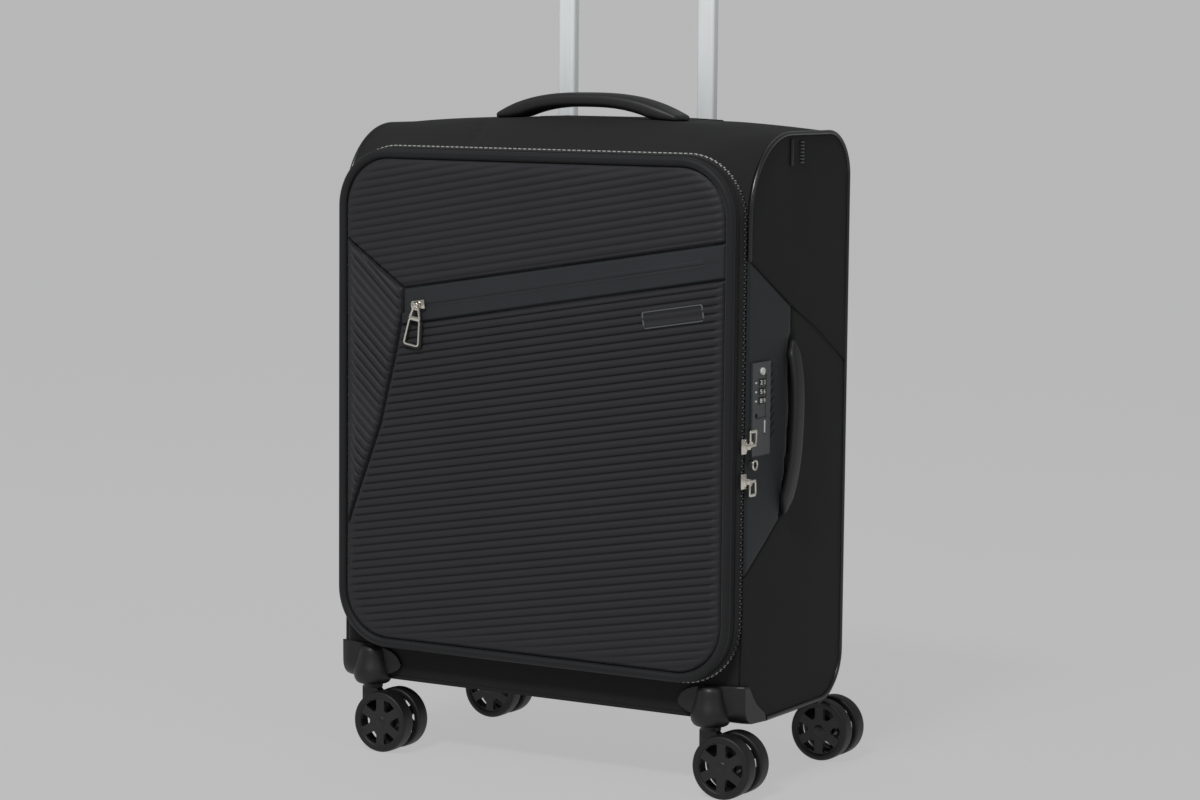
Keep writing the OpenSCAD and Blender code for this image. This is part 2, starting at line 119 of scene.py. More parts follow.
# the far wall is a ground to look at: it neither lights the suitcase nor shades it
wall.visible_diffuse = wall.visible_glossy = wall.visible_shadow = False
paper, paper_shader = new_material("matt_paper", Roughness=0.95)
paper_shader.inputs["Base Color"].default_value = linear(PAPER)
paper_shader.inputs["Specular IOR Level"].default_value = 0.1
# the paper gives a little light of its own, so that the ground stays an even grey
paper_shader.inputs["Emission Color"].default_value = linear(PAPER_LIGHT)
paper_shader.inputs["Emission Strength"].default_value = 0.93
for part in (floor, wall):
    part.data.materials.append(paper)

camera_data = bpy.data.cameras.new("camera")
camera_data.lens = 98.17
camera_data.sensor_width = 36
camera_data.clip_end = 60
camera = bpy.data.objects.new("camera", camera_data)
scene.collection.objects.link(camera)
look = Matrix.Rotation(math.radians(30.459), 4, "Z") @ Matrix.Rotation(math.radians(90 - 6.155), 4, "X")
camera.matrix_world = (
    Matrix.Translation((1.4291, -2.4088, 0.6105)) @ look @ Matrix.Rotation(math.radians(0.544), 4, "Z")
)
scene.camera = camera

world = bpy.data.worlds.new("studio")
world.use_nodes = True
world.node_tree.nodes["Background"].inputs["Color"].default_value = linear("#e6e8ea")
world.node_tree.nodes["Background"].inputs["Strength"].default_value = 0.30
scene.world = world
scene.view_settings.view_transform = "Standard"


def soft_lamp(name, place, aim, size, watts):
    lamp_data = bpy.data.lights.new(name, "AREA")
    lamp_data.shape = "RECTANGLE"
    lamp_data.size, lamp_data.size_y = size
    lamp_data.energy = watts
    lamp = bpy.data.objects.new(name, lamp_data)
    lamp.location = place
    lamp.rotation_euler = (Vector(aim) - Vector(place)).to_track_quat("-Z", "Y").to_euler()
    scene.collection.objects.link(lamp)


soft_lamp("front_lamp", (0.2, -2.2, 2.7), (0, 0, 0.4), (0.9, 0.5), 56)
soft_lamp("left_lamp", (-2.4, -1.0, 1.2), (0, 0, 0.35), (1.0, 1.8), 2)
soft_lamp("right_lamp", (2.4, -0.9, 1.9), (0, 0, 0.4), (0.3, 1.6), 6)

# ---- Case walls ----------------------------------------------------------------------------------
# The body is sewn from plain-woven black polyester over thin foam, lined in grey. The side
# panels have slanting seams, and a smoother coated piece between the zip and the side handle.

HALF_W, BODY_Z, CROWN_Z, FRONT_Y, BACK_Y = 197.0, 58.0, 550.0, -79.0, 99.0
SIDE_RIM = [(-9, 472, 70), (61, 504, 38), (59, 98, 40), (-61, 76, 18)]
FRONT_RIM = [(s * 141.5, 473, 52) for s in (-1, 1)] + [(s * 167.5, 88, 26) for s in (-1, 1)]
ZIP_RIM = [(s * 142.5, z, 52) for s in (-1, 1) for z in (143, 473)]
THREAD = 0.0013  # drawn coarser than a real thread, so that it shows
LINING_GREY = "#5a5d60"


def taut_band(circles, count=720):
    """A band drawn tight round circles (a, b, radius): places (a, b, way out a, way out b)."""
    rim = []
    for a, b, r in circles:
        for k in range(240):
            t = math.tau * k / 240
            rim.append((a + r * math.cos(t), b + r * math.sin(t), math.cos(t), math.sin(t)))
    rim.sort()
    band = []
    for order in (rim, rim[::-1]):
        part = []
        for p in order:
            while len(part) > 1 and (part[-1][0] - part[-2][0]) * (p[1] - part[-2][1]) <= (
                part[-1][1] - part[-2][1]
            ) * (p[0] - part[-2][0]):
                part.pop()
            part.append(p)
        band += part[:-1]
    ends = band[1:] + band[:1]
    lengths = [math.dist(p[:2], q[:2]) for p, q in zip(band, ends)]
    step = sum(lengths) / count
    places, k, passed = [], 0, 0.0
    for i in range(count):
        while passed + lengths[k] < i * step:
            passed += lengths[k]
            k += 1
        w = (i * step - passed) / lengths[k] if lengths[k] > 1e-9 else 0
        p = [x + (y - x) * w for x, y in zip(band[k], ends[k])]
        size = math.hypot(p[2], p[3])
        places.append((p[0], p[1], p[2] / size, p[3] / size))
    return places


def on_band(band, u, out=0.0):
    """The place a share u round a band, moved out by some mm."""
    at = (u % 1.0) * len(band)
    i = int(at) % len(band)
    w = at - int(at)
    p, q = band[i], band[(i + 1) % len(band)]
    a, b, na, nb = (x + (y - x) * w for x, y in zip(p, q))
    return a + na * out, b + nb * out, na, nb


def reach(band, centre):
    """A function that gives a band's distance from a centre in a direction."""
    polar = sorted(
        (math.atan2(b - centre[1], a - centre[0]), math.dist((a, b), centre)) for a, b, _, _ in band
    )
    polar = [(polar[-1][0] - math.tau, polar[-1][1])] + polar + [(polar[0][0] + math.tau, polar[0][1])]

    def distance(da, db):
        t = math.atan2(db, da)
        low, high = 0, len(polar) - 1
        while high - low > 1:
            mid = (low + high) // 2
            low, high = (mid, high) if polar[mid][0] <= t else (low, mid)
        span = polar[high][0] - polar[low][0]
        w = (t - polar[low][0]) / span if span > 1e-12 else 0
        return polar[low][1] + (polar[high][1] - polar[low][1]) * w

    return distance


def grid(columns, rows, place):
    """A grid whose points are put by place(u, v), with u and v from 0 to 1."""
    bm = bmesh.new()
    bmesh.ops.create_grid(bm, x_segments=columns, y_segments=rows, size=0.5)
    for v in bm.verts:
        v.co = place(v.co.x + 0.5, v.co.y + 0.5)
    return bm


def spread(u, v, half_a, half_b, distance):
    """Spreads a square grid over an outline: flat (a, b) from the middle of the outline."""
    a, b = (2 * u - 1) * half_a, (2 * v - 1) * half_b
    far = max(abs(a) / half_a, abs(b) / half_b)
    if far < 1e-6:
        return 0.0, 0.0
    k = 1 + (distance(a, b) / (math.hypot(a, b) / far) - 1) * far ** 2
    return a * k, b * k


def cut(bm, at, across):
    """Cuts every face where the plane through at, facing across, meets it."""
    bmesh.ops.bisect_plane(bm, geom=bm.verts[:] + bm.edges[:] + bm.faces[:], dist=1e-4, plane_co=at,
                           plane_no=across)


def soften(bm, offset):
    bmesh.ops.bevel(bm, geom=bm.edges[:], offset=offset, segments=1, affect="EDGES", profile=0.5, material=-1)


def finish_piece(name, bm, materials, body, nodes=(), inside=None, wall=0.0, sharp=38):
    """Makes the bmesh, in mm, a piece that rides on a body. inside is a point behind an open sheet."""
    bmesh.ops.remove_doubles(bm, verts=bm.verts, dist=0.004)
    bmesh.ops.recalc_face_normals(bm, faces=bm.faces)
    if inside is not None:
        facing = sum(f.normal.dot(f.calc_center_median() - Vector(inside)) * f.calc_area() for f in bm.faces)
        if facing < 0:
            bmesh.ops.reverse_faces(bm, faces=bm.faces)
    bmesh.ops.scale(bm, vec=(0.001,) * 3, verts=bm.verts)
    mesh = bpy.data.meshes.new(name)
    bm.to_mesh(mesh)
    bm.free()
    mesh.polygons.foreach_set("use_smooth", [True] * len(mesh.polygons))
    mesh.set_sharp_from_angle(angle=math.radians(sharp))
    for material in materials if isinstance(materials, (list, tuple)) else [materials]:
        mesh.materials.append(material)
    piece = link_object(name, mesh)
    if wall:
        solid = piece.modifiers.new("wall", "SOLIDIFY")
        solid.thickness, solid.offset, solid.use_even_offset = wall / 1000, -1, False
        if len(mesh.materials) > 1:
            solid.material_offset = len(mesh.materials) - 1  # the last material is the lining
    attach(piece, body)
    if nodes:
        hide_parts(*([nodes] if isinstance(nodes, str) else nodes))
    return piece


def puff(bm, held, cap, pressure=4.0):
    """Cloth simulation of a sewn panel with foam behind it: held(co) says which points the seams keep."""
    mesh = bpy.data.meshes.new("puffed")
    bmesh.ops.recalc_face_normals(bm, faces=bm.faces)
    bm.normal_update()
    bm.to_mesh(mesh)
    mesh.transform(Matrix.Scale(0.001, 4))
    sheet = link_object("puffed", mesh)
    group = sheet.vertex_groups.new(name="held")
    rest = [v.co.copy() for v in bm.verts]
    edge = {i for i, v in enumerate(bm.verts) if v.is_boundary}
    group.add([i for i, co in enumerate(rest) if i in edge or held(co)], 1.0, "REPLACE")
    cloth = sheet.modifiers.new("cloth", "CLOTH")
    settings = cloth.settings
    settings.quality = 5
    settings.mass = 0.25
    settings.tension_stiffness = settings.compression_stiffness = 12
    settings.bending_stiffness = 2.5
    settings.vertex_group_mass = "held"
    settings.use_pressure = True
    settings.uniform_pressure_force = pressure
    settings.effector_weights.gravity = 0
    cloth.point_cache.frame_start, cloth.point_cache.frame_end = 1, 20
    for step in range(1, 21):
        scene.frame_set(step)
    settled = sheet.evaluated_get(bpy.context.evaluated_depsgraph_get()).data
    for v, co, old in zip(bm.verts, settled.vertices, rest):
        move = co.co * 1000 - old
        if move.length > cap:
            move = move * (cap / move.length)
        v.co = old + move
    bpy.data.objects.remove(sheet)
    bpy.data.meshes.remove(mesh)
    scene.frame_set(1)


def to_line(a, b, points):
    """Distance from (a, b) to a line through points."""
    best = 1e9
    for (pa, pb), (qa, qb) in zip(points, points[1:]):
        la, lb = qa - pa, qb - pb
        t = min(max(((a - pa) * la + (b - pb) * lb) / (la * la + lb * lb), 0), 1)
        best = min(best, math.hypot(a - pa - t * la, b - pb - t * lb))
    return best


def within(a, b, points):
    """True if (a, b) is inside the outline through points."""
    inside = False
    for (pa, pb), (qa, qb) in zip(points, points[1:] + points[:1]):
        if (pb > b) != (qb > b) and a < (qa - pa) * (b - pb) / (qb - pb) + pa:
            inside = not inside
    return inside


def ease(x):
    x = min(max(x, 0.0), 1.0)
    return x * x * (3 - 2 * x)


def two_tone(material, shader, dark, light, vector, **noise):
    """Lets the base colour drift between two tones, and gives back the noise behind it."""
    patches = add_node(material, "ShaderNodeTexNoise", None, {"Vector": vector, **noise})
    tone = add_node(material, "ShaderNodeMix", {"data_type": "RGBA"}, {"Factor": (patches, "Fac")})
    tone.inputs[6].default_value = linear(dark)
    tone.inputs[7].default_value = linear(light)
    into_shader(material, shader, "Base Color", tone, 2)
    return patches


def woven(name, dark, light, roughness, sheen, thread=THREAD, depth=0.00016):
    """Plain weave: threads cross on every face, and the dye varies over a hand's width."""
    material, shader = new_material(name, Roughness=roughness, Sheen_Weight=sheen, Sheen_Roughness=0.45)
    shader.inputs["Specular IOR Level"].default_value = 0.3
    where = add_node(material, "ShaderNodeTexCoord")
    two_tone(material, shader, dark, light, (where, "Object"), Scale=14.0, Detail=5.0, Roughness=0.6)
    total = None
    for axis in "XYZ":
        threads = add_node(material, "ShaderNodeTexWave", {"wave_type": "BANDS", "bands_direction": axis},
                           {"Vector": (where, "Object"), "Scale": math.tau / 20 / thread,
                            "Distortion": 1.5, "Detail": 2.0})
        total = threads if total is None else add_node(
            material, "ShaderNodeMath", {"operation": "ADD"}, {0: (total, 0), 1: (threads, 1)})
    bump = add_node(material, "ShaderNodeBump", None,
                    {"Height": (total, 0), "Strength": 0.4, "Distance": depth})
    into_shader(material, shader, "Normal", bump, "Normal")
    return material


# plain weave, matt, with a slight sheen on its high threads
polyester = woven("polyester_600d_plain_weave", "#1a1a1a", "#212121", 0.85, 0.03, THREAD, 0.00005)
# the same cloth with a polyurethane face coat, smoother and slightly blue
coated = woven("polyester_pu_coated", "#1f2224", "#24272a", 0.58, 0.06, THREAD, 0.00007)
lining = woven("lining_170t_taffeta", "#4c4f52", LINING_GREY, 0.7, 0.2, 0.0009, 0.00008)

UPPER_SEAM = [(-76, 439.5), (-40, 419.5), (-2.7, 399), (42.5, 377.5), (99, 345)]
SLIT = [(-2.6, 399), (-2, 372)]
LOWER_SEAM = [(-14, 227), (-26, 218.5), (-42, 207), (-79, 182)]
SLOT_EDGE = [(-2, 374), (-3, 352), (-1.5, 315), (-2, 300), (-5, 278), (-10, 253), (-17, 227)]
COATED = [(-90, 447.5)] + UPPER_SEAM[1:3] + SLOT_EDGE + LOWER_SEAM[1:3] + [(-90, 174.5)]
# what shows down a sewn seam: black thread with painted shade; the same dark cloth is painted shade in the
# slot behind the side handle
seam_shade_cloth = woven("seam_thread_and_painted_shade", "#0b0b0c", "#101011", 0.9, 0.0, THREAD, 0.00005)
side_centre = (10.0, 300.0)
side_reach = reach(taut_band(SIDE_RIM), side_centre)
LOCK_BOX = (-74, -40, 268, 360)
LOCK_HOLE = ((-70.5, -43.5), (283, 354))


def side_panel(name, s, nodes):
    def place(u, v):
        a, b = spread(u, v, 89.0, 242.0, side_reach)
        return s * HALF_W, side_centre[0] + a, side_centre[1] + b

    bm = grid(48, 124, place)
    cuts = list(zip(UPPER_SEAM, UPPER_SEAM[1:])) + list(zip(LOWER_SEAM, LOWER_SEAM[1:]))
    cuts += list(zip(SLIT, SLIT[1:]))
    for p, q in cuts:
        across = Vector((0, -(q[1] - p[1]), q[0] - p[0])).normalized()
        for shift in (-1.5, -0.6, 0.6, 1.5):
            cut(bm, Vector((0, p[0], p[1])) + across * shift, across)
    if s > 0:
        for axis, edges in zip((1, 2), LOCK_HOLE):
            for edge in edges:
                at, across = Vector((0, 0, 0)), Vector((0, 0, 0))
                at[axis], across[axis] = edge, 1
                cut(bm, at, across)
    bmesh.ops.remove_doubles(bm, verts=bm.verts, dist=0.25)
    if s > 0:
        (near, far_side), (under, over) = LOCK_HOLE
        hole = [f for f in bm.faces if near < f.calc_center_median().y < far_side
                and under < f.calc_center_median().z < over]
        bmesh.ops.delete(bm, geom=hole, context="FACES")
    seams = (UPPER_SEAM, SLIT, LOWER_SEAM, SLOT_EDGE)

    def held(co):
        on_seam = min(to_line(co.y, co.z, line) for line in seams) < 4
        lock = s > 0 and LOCK_BOX[0] < co.y < LOCK_BOX[1] and LOCK_BOX[2] < co.z < LOCK_BOX[3]
        foot = s > 0 and abs(co.y + 8) < 9 and 225 < co.z < 376
        tab = s > 0 and co.z > 512 and -14 < co.y < 16
        return on_seam or lock or foot or tab

    puff(bm, held, 3.0)
    for v in bm.verts:
        a, b = v.co.y, v.co.z
        drop = 1.1 * math.exp(-((to_line(a, b, UPPER_SEAM) / 1.0) ** 2))
        drop = max(drop, 1.0 * math.exp(-((to_line(a, b, LOWER_SEAM) / 1.0) ** 2)))
        drop = max(drop, 2.2 * math.exp(-((to_line(a, b, SLIT) / 1.1) ** 2)))
        if s > 0:
            drop = max(drop, 3.2 * math.exp(-((to_line(a, b, SLOT_EDGE) / 2.8) ** 4)))
        seam_b = 399 - (a + 2.7) * 0.54
        lift = 0.9 * ease((b - seam_b) / 1.2) * ease((seam_b + 60 - b) / 55)
        v.co.x += s * (lift - drop)
    for f in bm.faces:
        c = f.calc_center_median()
        on_seam = min(to_line(c.y, c.z, line) for line in (UPPER_SEAM, LOWER_SEAM, SLIT)) < 0.6
        # the strip along the slot behind the side handle is painted shade
        slot_painted_shade = s > 0 and to_line(c.y, c.z, SLOT_EDGE) < 1.9
        f.material_index = 2 if on_seam or slot_painted_shade else 1 if within(c.y, c.z, COATED) else 0
    piece = finish_piece(name, bm, [polyester, coated, seam_shade_cloth, lining], "case", nodes,
                         (0, 10, 300), 2.6, 60)


side_panel("side_wall_right", 1, "side_panel_right")
side_panel("side_wall_left", -1, "side_panel_left")

# the whole body as one tight skin, which the other walls are laid on
skin = bmesh.new()
for s in (-1, 1):
    for a, b, _, _ in taut_band(SIDE_RIM, 240):
        skin.verts.new((s * HALF_W, a, b))
    for half, z in ((110, 548), (60, 550)):
        for y in (-8, 68):
            skin.verts.new((s * half, y, z))
for a, b, _, _ in taut_band(FRONT_RIM, 240):
    skin.verts.new((a, FRONT_Y, b))
bmesh.ops.convex_hull(skin, input=skin.verts)
skin_tree = BVHTree.FromBMesh(skin)
skin.free()


def front_edge(x, top):
    """Height of the front plane's upper or lower edge at x."""
    centre_x, centre_z, r = (141.5, 473, 52) if top else (167.5, 88, 26)
    rest = max(abs(x) - centre_x, 0)
    rise = math.sqrt(max(r * r - rest * rest, 0))
    return centre_z + rise if top else centre_z - rise


def laid_on_skin(columns, rows, centre_z, first, last, bend):
    """A wall from side to side, on rays from the line y 10, z centre_z, turning from first to last."""

    def place(u, v):
        x = 195.4 * math.sin((u - 0.5) * math.pi * 0.94) / math.sin(0.47 * math.pi)
        t0, t1 = first(x), last(x)
        t = t0 + (t1 - t0) * v
        way = Vector((0, -math.cos(t), math.sin(t) * bend))
        hit = skin_tree.ray_cast(Vector((x, 10, centre_z)), way)[0]
        return hit if hit is not None else Vector((x, 10, centre_z)) + way * 80

    return grid(columns, rows, place)


TOP_SEAM = [(-76, -79), (-82, -55), (-89, -32), (-97, -8), (-99, 6)]
top_wall = laid_on_skin(110, 76, 440, lambda x: math.atan2(front_edge(x, True) - 440, 89),
                        lambda x: math.pi - math.atan2(30, 89), 1)
bmesh.ops.smooth_vert(top_wall, verts=[v for v in top_wall.verts if not v.is_boundary], factor=0.5,
                      use_axis_x=True, use_axis_y=True, use_axis_z=True)
HANDLE_X, HANDLE_Y = -5.0, 10.0


def top_held(co):
    handle = abs(co.x - HANDLE_X) < 104 and abs(co.y - HANDLE_Y) < 20
    bezel = abs(co.x) < 98 and 64 < co.y < 95
    return handle or bezel or to_line(co.x, co.y, TOP_SEAM) < 4


puff(top_wall, top_held, 3.0)
for v in top_wall.verts:
    away = to_line(v.co.x, v.co.y, TOP_SEAM)
    v.co.z -= 1.3 * math.exp(-((away / 2.2) ** 2))
well = [f for f in top_wall.faces
        if abs(f.calc_center_median().x) < 88 and 72 < f.calc_center_median().y < 88
        and f.calc_center_median().z > 530]
bmesh.ops.delete(top_wall, geom=well, context="FACES")
top_piece = finish_piece("top_wall", top_wall, [polyester, lining], "case", "top_panel",
                         (0, 10, 440), 2.6, 70)

bottom_wall = laid_on_skin(90, 60, 160, lambda x: math.atan2(160 - front_edge(x, False), 89),
                           lambda x: math.pi - math.atan2(62, 89), -1)
bottom_piece = finish_piece("bottom_wall", bottom_wall, [polyester, lining], "case", "bottom_panel",
                            (0, 10, 160), 2.6, 70)

BACK_SEAMS = [[(-98, 98), (-98, 470)], [(98, 98), (98, 470)], [(-194, 152), (194, 152)]]
back_wall = grid(90, 92, lambda u, v: (-195 + 390 * u, BACK_Y, 97 + 374 * v))
puff(back_wall, lambda co: min(to_line(co.x, co.z, line) for line in BACK_SEAMS) < 4, 4.0)
for v in back_wall.verts:
    away = min(to_line(v.co.x, v.co.z, line) for line in BACK_SEAMS)
    v.co.y -= 1.4 * math.exp(-((away / 2.4) ** 2))
for f in back_wall.faces:
    f.material_index = 1 if f.calc_center_median().z < 152 else 0
back_piece = finish_piece("back_wall", back_wall, [polyester, coated, lining], "case", "back_panel",
                          (0, 10, 300), 2.6, 60)

front_band = taut_band(FRONT_RIM)
zip_band = taut_band(ZIP_RIM)
front_centre = (0.0, 300.0)
zip_reach = reach(zip_band, front_centre)
front_reach = reach(front_band, front_centre)


def border_place(u, v):
    a, b, na, nb = on_band(front_band, u, 0.4)
    size = math.hypot(a, b - 300)
    near = zip_reach(a, b - 300) - 12.5
    r = near + (size - near) * v
    return a / size * r, FRONT_Y + 1.5 * ease((v - 0.8) / 0.2) ** 2, 300 + (b - 300) / size * r


border_piece = finish_piece("front_border_wall", grid(480, 8, border_place), [polyester, lining], "case",
                            "front_border", (0, 300, 300), 2.4, 70)

# ---- Side piping ---------------------------------------------------------------------------------
# Extruded black vinyl cord sewn into the seam round each side panel. It is glossy. It ends where
# the front edge becomes a plain turned seam, and starts again behind the front caster housings.


def moulded(name, dark, light, roughness, coat=0.0, grain=0.0009, depth=0.00004):
    """Moulded plastic with a fine spark-eroded grain that scatters its highlights."""
    material, shader = new_material(name, Roughness=roughness, Coat_Weight=coat, Coat_Roughness=0.25)
    where = add_node(material, "ShaderNodeTexCoord")
    two_tone(material, shader, dark, light, (where, "Object"), Scale=30.0, Detail=6.0, Roughness=0.65)
    speck = add_node(material, "ShaderNodeTexNoise", None,
                     {"Vector": (where, "Object"), "Scale": 1 / grain, "Detail": 2.0})
    bump = add_node(material, "ShaderNodeBump", None,
                    {"Height": (speck, "Fac"), "Strength": 0.5, "Distance": depth})
    into_shader(material, shader, "Normal", bump, "Normal")
    return material


vinyl = moulded("pvc_piping_extruded", "#101011", "#161617", 0.3, 0.45)
side_band = taut_band(SIDE_RIM)
PIPE_R = 1.9


def side_pipe(s):
    def place(u, v):
        t = v * math.tau
        a, b, na, nb = on_band(side_band, u, PIPE_R * math.cos(t) - 0.6)
        return s * (197.2 + PIPE_R * math.sin(t)), a, b

    bm = grid(420, 12, place)
    hidden = [f for f in bm.faces if f.calc_center_median().y < -40 and f.calc_center_median().z < 441]
    bmesh.ops.delete(bm, geom=hidden, context="FACES")
    bmesh.ops.remove_doubles(bm, verts=bm.verts, dist=0.01)
    bmesh.ops.holes_fill(bm, edges=[e for e in bm.edges if e.is_boundary], sides=16)
    return bm


for label, s in (("right", 1), ("left", -1)):
    finish_piece("side_piping_" + label, side_pipe(s), vinyl, "case", "side_piping")

# ---- Main zip ------------------------------------------------------------------------------------
# A coil zip round the lid. One row of nylon teeth is sewn to a tape on the case and the
# other to a tape on the lid; they mesh in the plane between the two.

tape = woven("zip_tape_herringbone", "#131314", "#1b1b1c", 0.75, 0.1, 0.001, 0.0001)
nylon = moulded("nylon_coil_painted_highlight", "#4a4a49", "#5a5a59", 0.25, 0.5)
# painted highlight: the coil is mixed towards a pale tone along its top and its foot, by the height away from
# its middle
COIL_MIDDLE_Z, COIL_HIGHLIGHT_START, COIL_HIGHLIGHT_FULL = 0.308, 0.185, 0.212
coil_mix = next(n for n in nylon.node_tree.nodes if n.bl_idname == "ShaderNodeMix")
coil_where = add_node(nylon, "ShaderNodeSeparateXYZ", None, {
    "Vector": (next(n for n in nylon.node_tree.nodes if n.bl_idname == "ShaderNodeTexCoord"), "Object")})
coil_away = add_node(nylon, "ShaderNodeMath", {"operation": "SUBTRACT"},
                     {0: (coil_where, "Z"), 1: COIL_MIDDLE_Z})
coil_away = add_node(nylon, "ShaderNodeMath", {"operation": "ABSOLUTE"}, {0: (coil_away, 0)})
coil_highlight_mask = add_node(nylon, "ShaderNodeMapRange", None,
                   {"Value": (coil_away, 0), "From Min": COIL_HIGHLIGHT_START, "From Max": COIL_HIGHLIGHT_FULL})
coil_painted_highlight = add_node(nylon, "ShaderNodeMix", {"data_type": "RGBA"}, {"Factor": (coil_highlight_mask, "Result")})
nylon.node_tree.links.new(coil_mix.outputs[2], coil_painted_highlight.inputs[6])
# the pale grey of the painted highlight
coil_painted_highlight.inputs[7].default_value = linear("#c4c4c0")
into_shader(nylon, nylon.node_tree.nodes["Principled BSDF"], "Base Color", coil_painted_highlight, 2)
TOOTH_PITCH = 2.4
round_zip = sum(math.dist(p[:2], q[:2]) for p, q in zip(zip_band, zip_band[1:] + zip_band[:1]))
tooth_pairs = round(round_zip / TOOTH_PITCH / 2)


def teeth(band, first, count, y, out, size, skip=None):
    """Small rounded blocks along a band, every second place from first."""
    bm = bmesh.new()
    for k in range(count):
        a, b, na, nb = on_band(band, (first + 2 * k) / (2 * count), out)
        if skip and skip(a, b):
            continue
        turn = Matrix(((nb, 0, na), (0, 1, 0), (-na, 0, nb))).to_4x4()
        matrix = Matrix.Translation((a, y, b)) @ turn @ Matrix.Diagonal((*size, 1))
        bmesh.ops.create_cube(bm, size=1, matrix=matrix)
    soften(bm, 0.28)
    return bm


finish_piece("case_zip_teeth", teeth(zip_band, 0, tooth_pairs, -80.2, 0.3, (1.5, 2.3, 1.0)), nylon, "case",
             (), sharp=30)
finish_piece("lid_zip_teeth", teeth(zip_band, 1, tooth_pairs, -82.0, 0.3, (1.5, 2.3, 1.0)), nylon, "lid",
             (), sharp=30)


def tape_sweep(profile):
    """A band of tape round the zip: profile is (mm in from the zip's line, y) points."""
    rows = len(profile) - 1

    def place(u, v):
        at = min(v * rows, rows - 1e-6)
        k = int(at)
        inward = profile[k][0] + (profile[k + 1][0] - profile[k][0]) * (at - k)
        y = profile[k][1] + (profile[k + 1][1] - profile[k][1]) * (at - k)
        a, b, _, _ = on_band(zip_band, u, -inward)
        return a, y, b

    return grid(480, rows, place)


CASE_TAPE = [(12.2, -79.0), (12.2, -79.9), (6, -80.3), (1.4, -80.6), (0.1, -81.0), (0.0, -80.2),
             (0.2, -79.3), (0.6, -78.8), (6, -78.9), (12.2, -79.0)]
LID_TAPE = [(2.6, -88.6), (1.0, -88.2), (0.3, -86), (0.2, -83), (0.1, -81.2), (1.0, -81.05), (3.4, -81.2),
            (3.6, -84), (3.6, -88.6), (2.6, -88.6)]
finish_piece("case_zip_strip", tape_sweep(CASE_TAPE), tape, "case", "case_zip_tape")
finish_piece("lid_zip_strip", tape_sweep(LID_TAPE), tape, "lid", "lid_zip_tape")

# ---- Lid -----------------------------------------------------------------------------------------
# A padded front lid with a thick rolled edge. Its face is sewn from embossed rib fabric in three
# fields: above a smooth slanting band, below it, and a facet at the left whose ribs run down.

ribbed = woven("polyester_rib_embossed", "#242427", "#2b2b2e", 0.6, 0.1, THREAD, 0.00006)
smooth_cloth = woven("polyester_band_satin", "#24272a", "#2b2e31", 0.6, 0.08, THREAD, 0.00005)
RIB_PITCH = 6.7
BAND_TILT, FACET_TILT = math.radians(9.5), math.radians(43)
RIB_SLOPE = math.tan(BAND_TILT)
FIELD_Y, GROOVE_Y = -96.7, -93.4
FIELD_IN = 9.0
lid_reach = reach([on_band(zip_band, k / 720, -FIELD_IN) for k in range(720)], front_centre)
BAND_TOP = [(-126, 405), (190, 456)]
BAND_LOW = [(-126, 373.2), (190, 426.3)]
FACET = [(-184, 445.1), (-126, 405), (-126, 385), (-134, 349.5), (-149, 288.6), (-183, 199)]
POCKET_LINE = [(-104, 392.4), (180, 439.5)]


def rib(across):
    """Height of a rounded rib, from 0 in the valley to 1 on its back."""
    t = (across / RIB_PITCH) % 1.0
    return 1 - abs(2 * t - 1) ** 2.6


def to_edge(x, z):
    """Distance in from the lid's face edge, measured from the middle outwards."""
    return lid_reach(x, z - 300) - math.hypot(x, z - 300)


def lid_field(name, slope, columns_at, z_range, keep, ribs, lines, material, nodes=(), step=RIB_PITCH / 8):
    """One sewn field: rows follow the ribs, and it dips into the seams round it."""
    low, high = z_range
    rows = max(int((high - low) / step), 4)

    def place(u, v):
        x = columns_at(u)
        return x, FIELD_Y, low + (high - low) * v + slope * x

    bm = grid(92, rows, place)
    for line in lines:
        for (pa, pb), (qa, qb) in zip(line, line[1:]):
            across = Vector((-(qb - pb), 0, qa - pa)).normalized()
            for shift in (-2.6, -1.1, 0, 1.1, 2.6):
                cut(bm, Vector((pa, 0, pb)) + across * shift, across)
    out = [f for f in bm.faces if not keep(f.calc_center_median().x, f.calc_center_median().z)]
    bmesh.ops.delete(bm, geom=out, context="FACES")
    for v in bm.verts:
        x, z = v.co.x, v.co.z
        over = -to_edge(x, z)
        if over > 0:
            size = math.hypot(x, z - 300)
            v.co.x, v.co.z = x * (1 - over / size), 300 + (z - 300) * (1 - over / size)
            x, z = v.co.x, v.co.z
        edge = max(to_edge(x, z), 0)
        seam = min((to_line(x, z, line) for line in lines), default=99)
        rise = ease(min(edge / 3.2, seam / 2.2))
        flat = ease(min(edge / 13, seam / 5, 1))
        v.co.y = GROOVE_Y + (FIELD_Y - GROOVE_Y) * rise - ribs(x, z) * flat * rise
    piece = finish_piece(name, bm, material, "lid", nodes, (0, -60, 300), 1.8, 80)
    return piece


def even_columns(low, high):
    """Columns that are closer together near both ends."""
    def at(u):
        t = 2 * u - 1
        pull = math.sin(t * math.pi / 2 * 0.86) / math.sin(math.pi / 2 * 0.86)
        return (low + high) / 2 + (high - low) / 2 * pull
    return at


def face_ribs(x, z):
    return 2.2 * rib(z - RIB_SLOPE * x)


def facet_ribs(x, z):
    return 3.0 * rib((z + x * math.tan(FACET_TILT)) * math.cos(FACET_TILT))


def above(line, x, z):
    (pa, pb), (qa, qb) = line
    return z > pb + (qb - pb) * (x - pa) / (qa - pa)


def in_facet(x, z):
    return within(x, z, FACET + [(-230, 199), (-230, 445.1)])


def on_lid(x, z):
    return to_edge(x, z) > -1.2


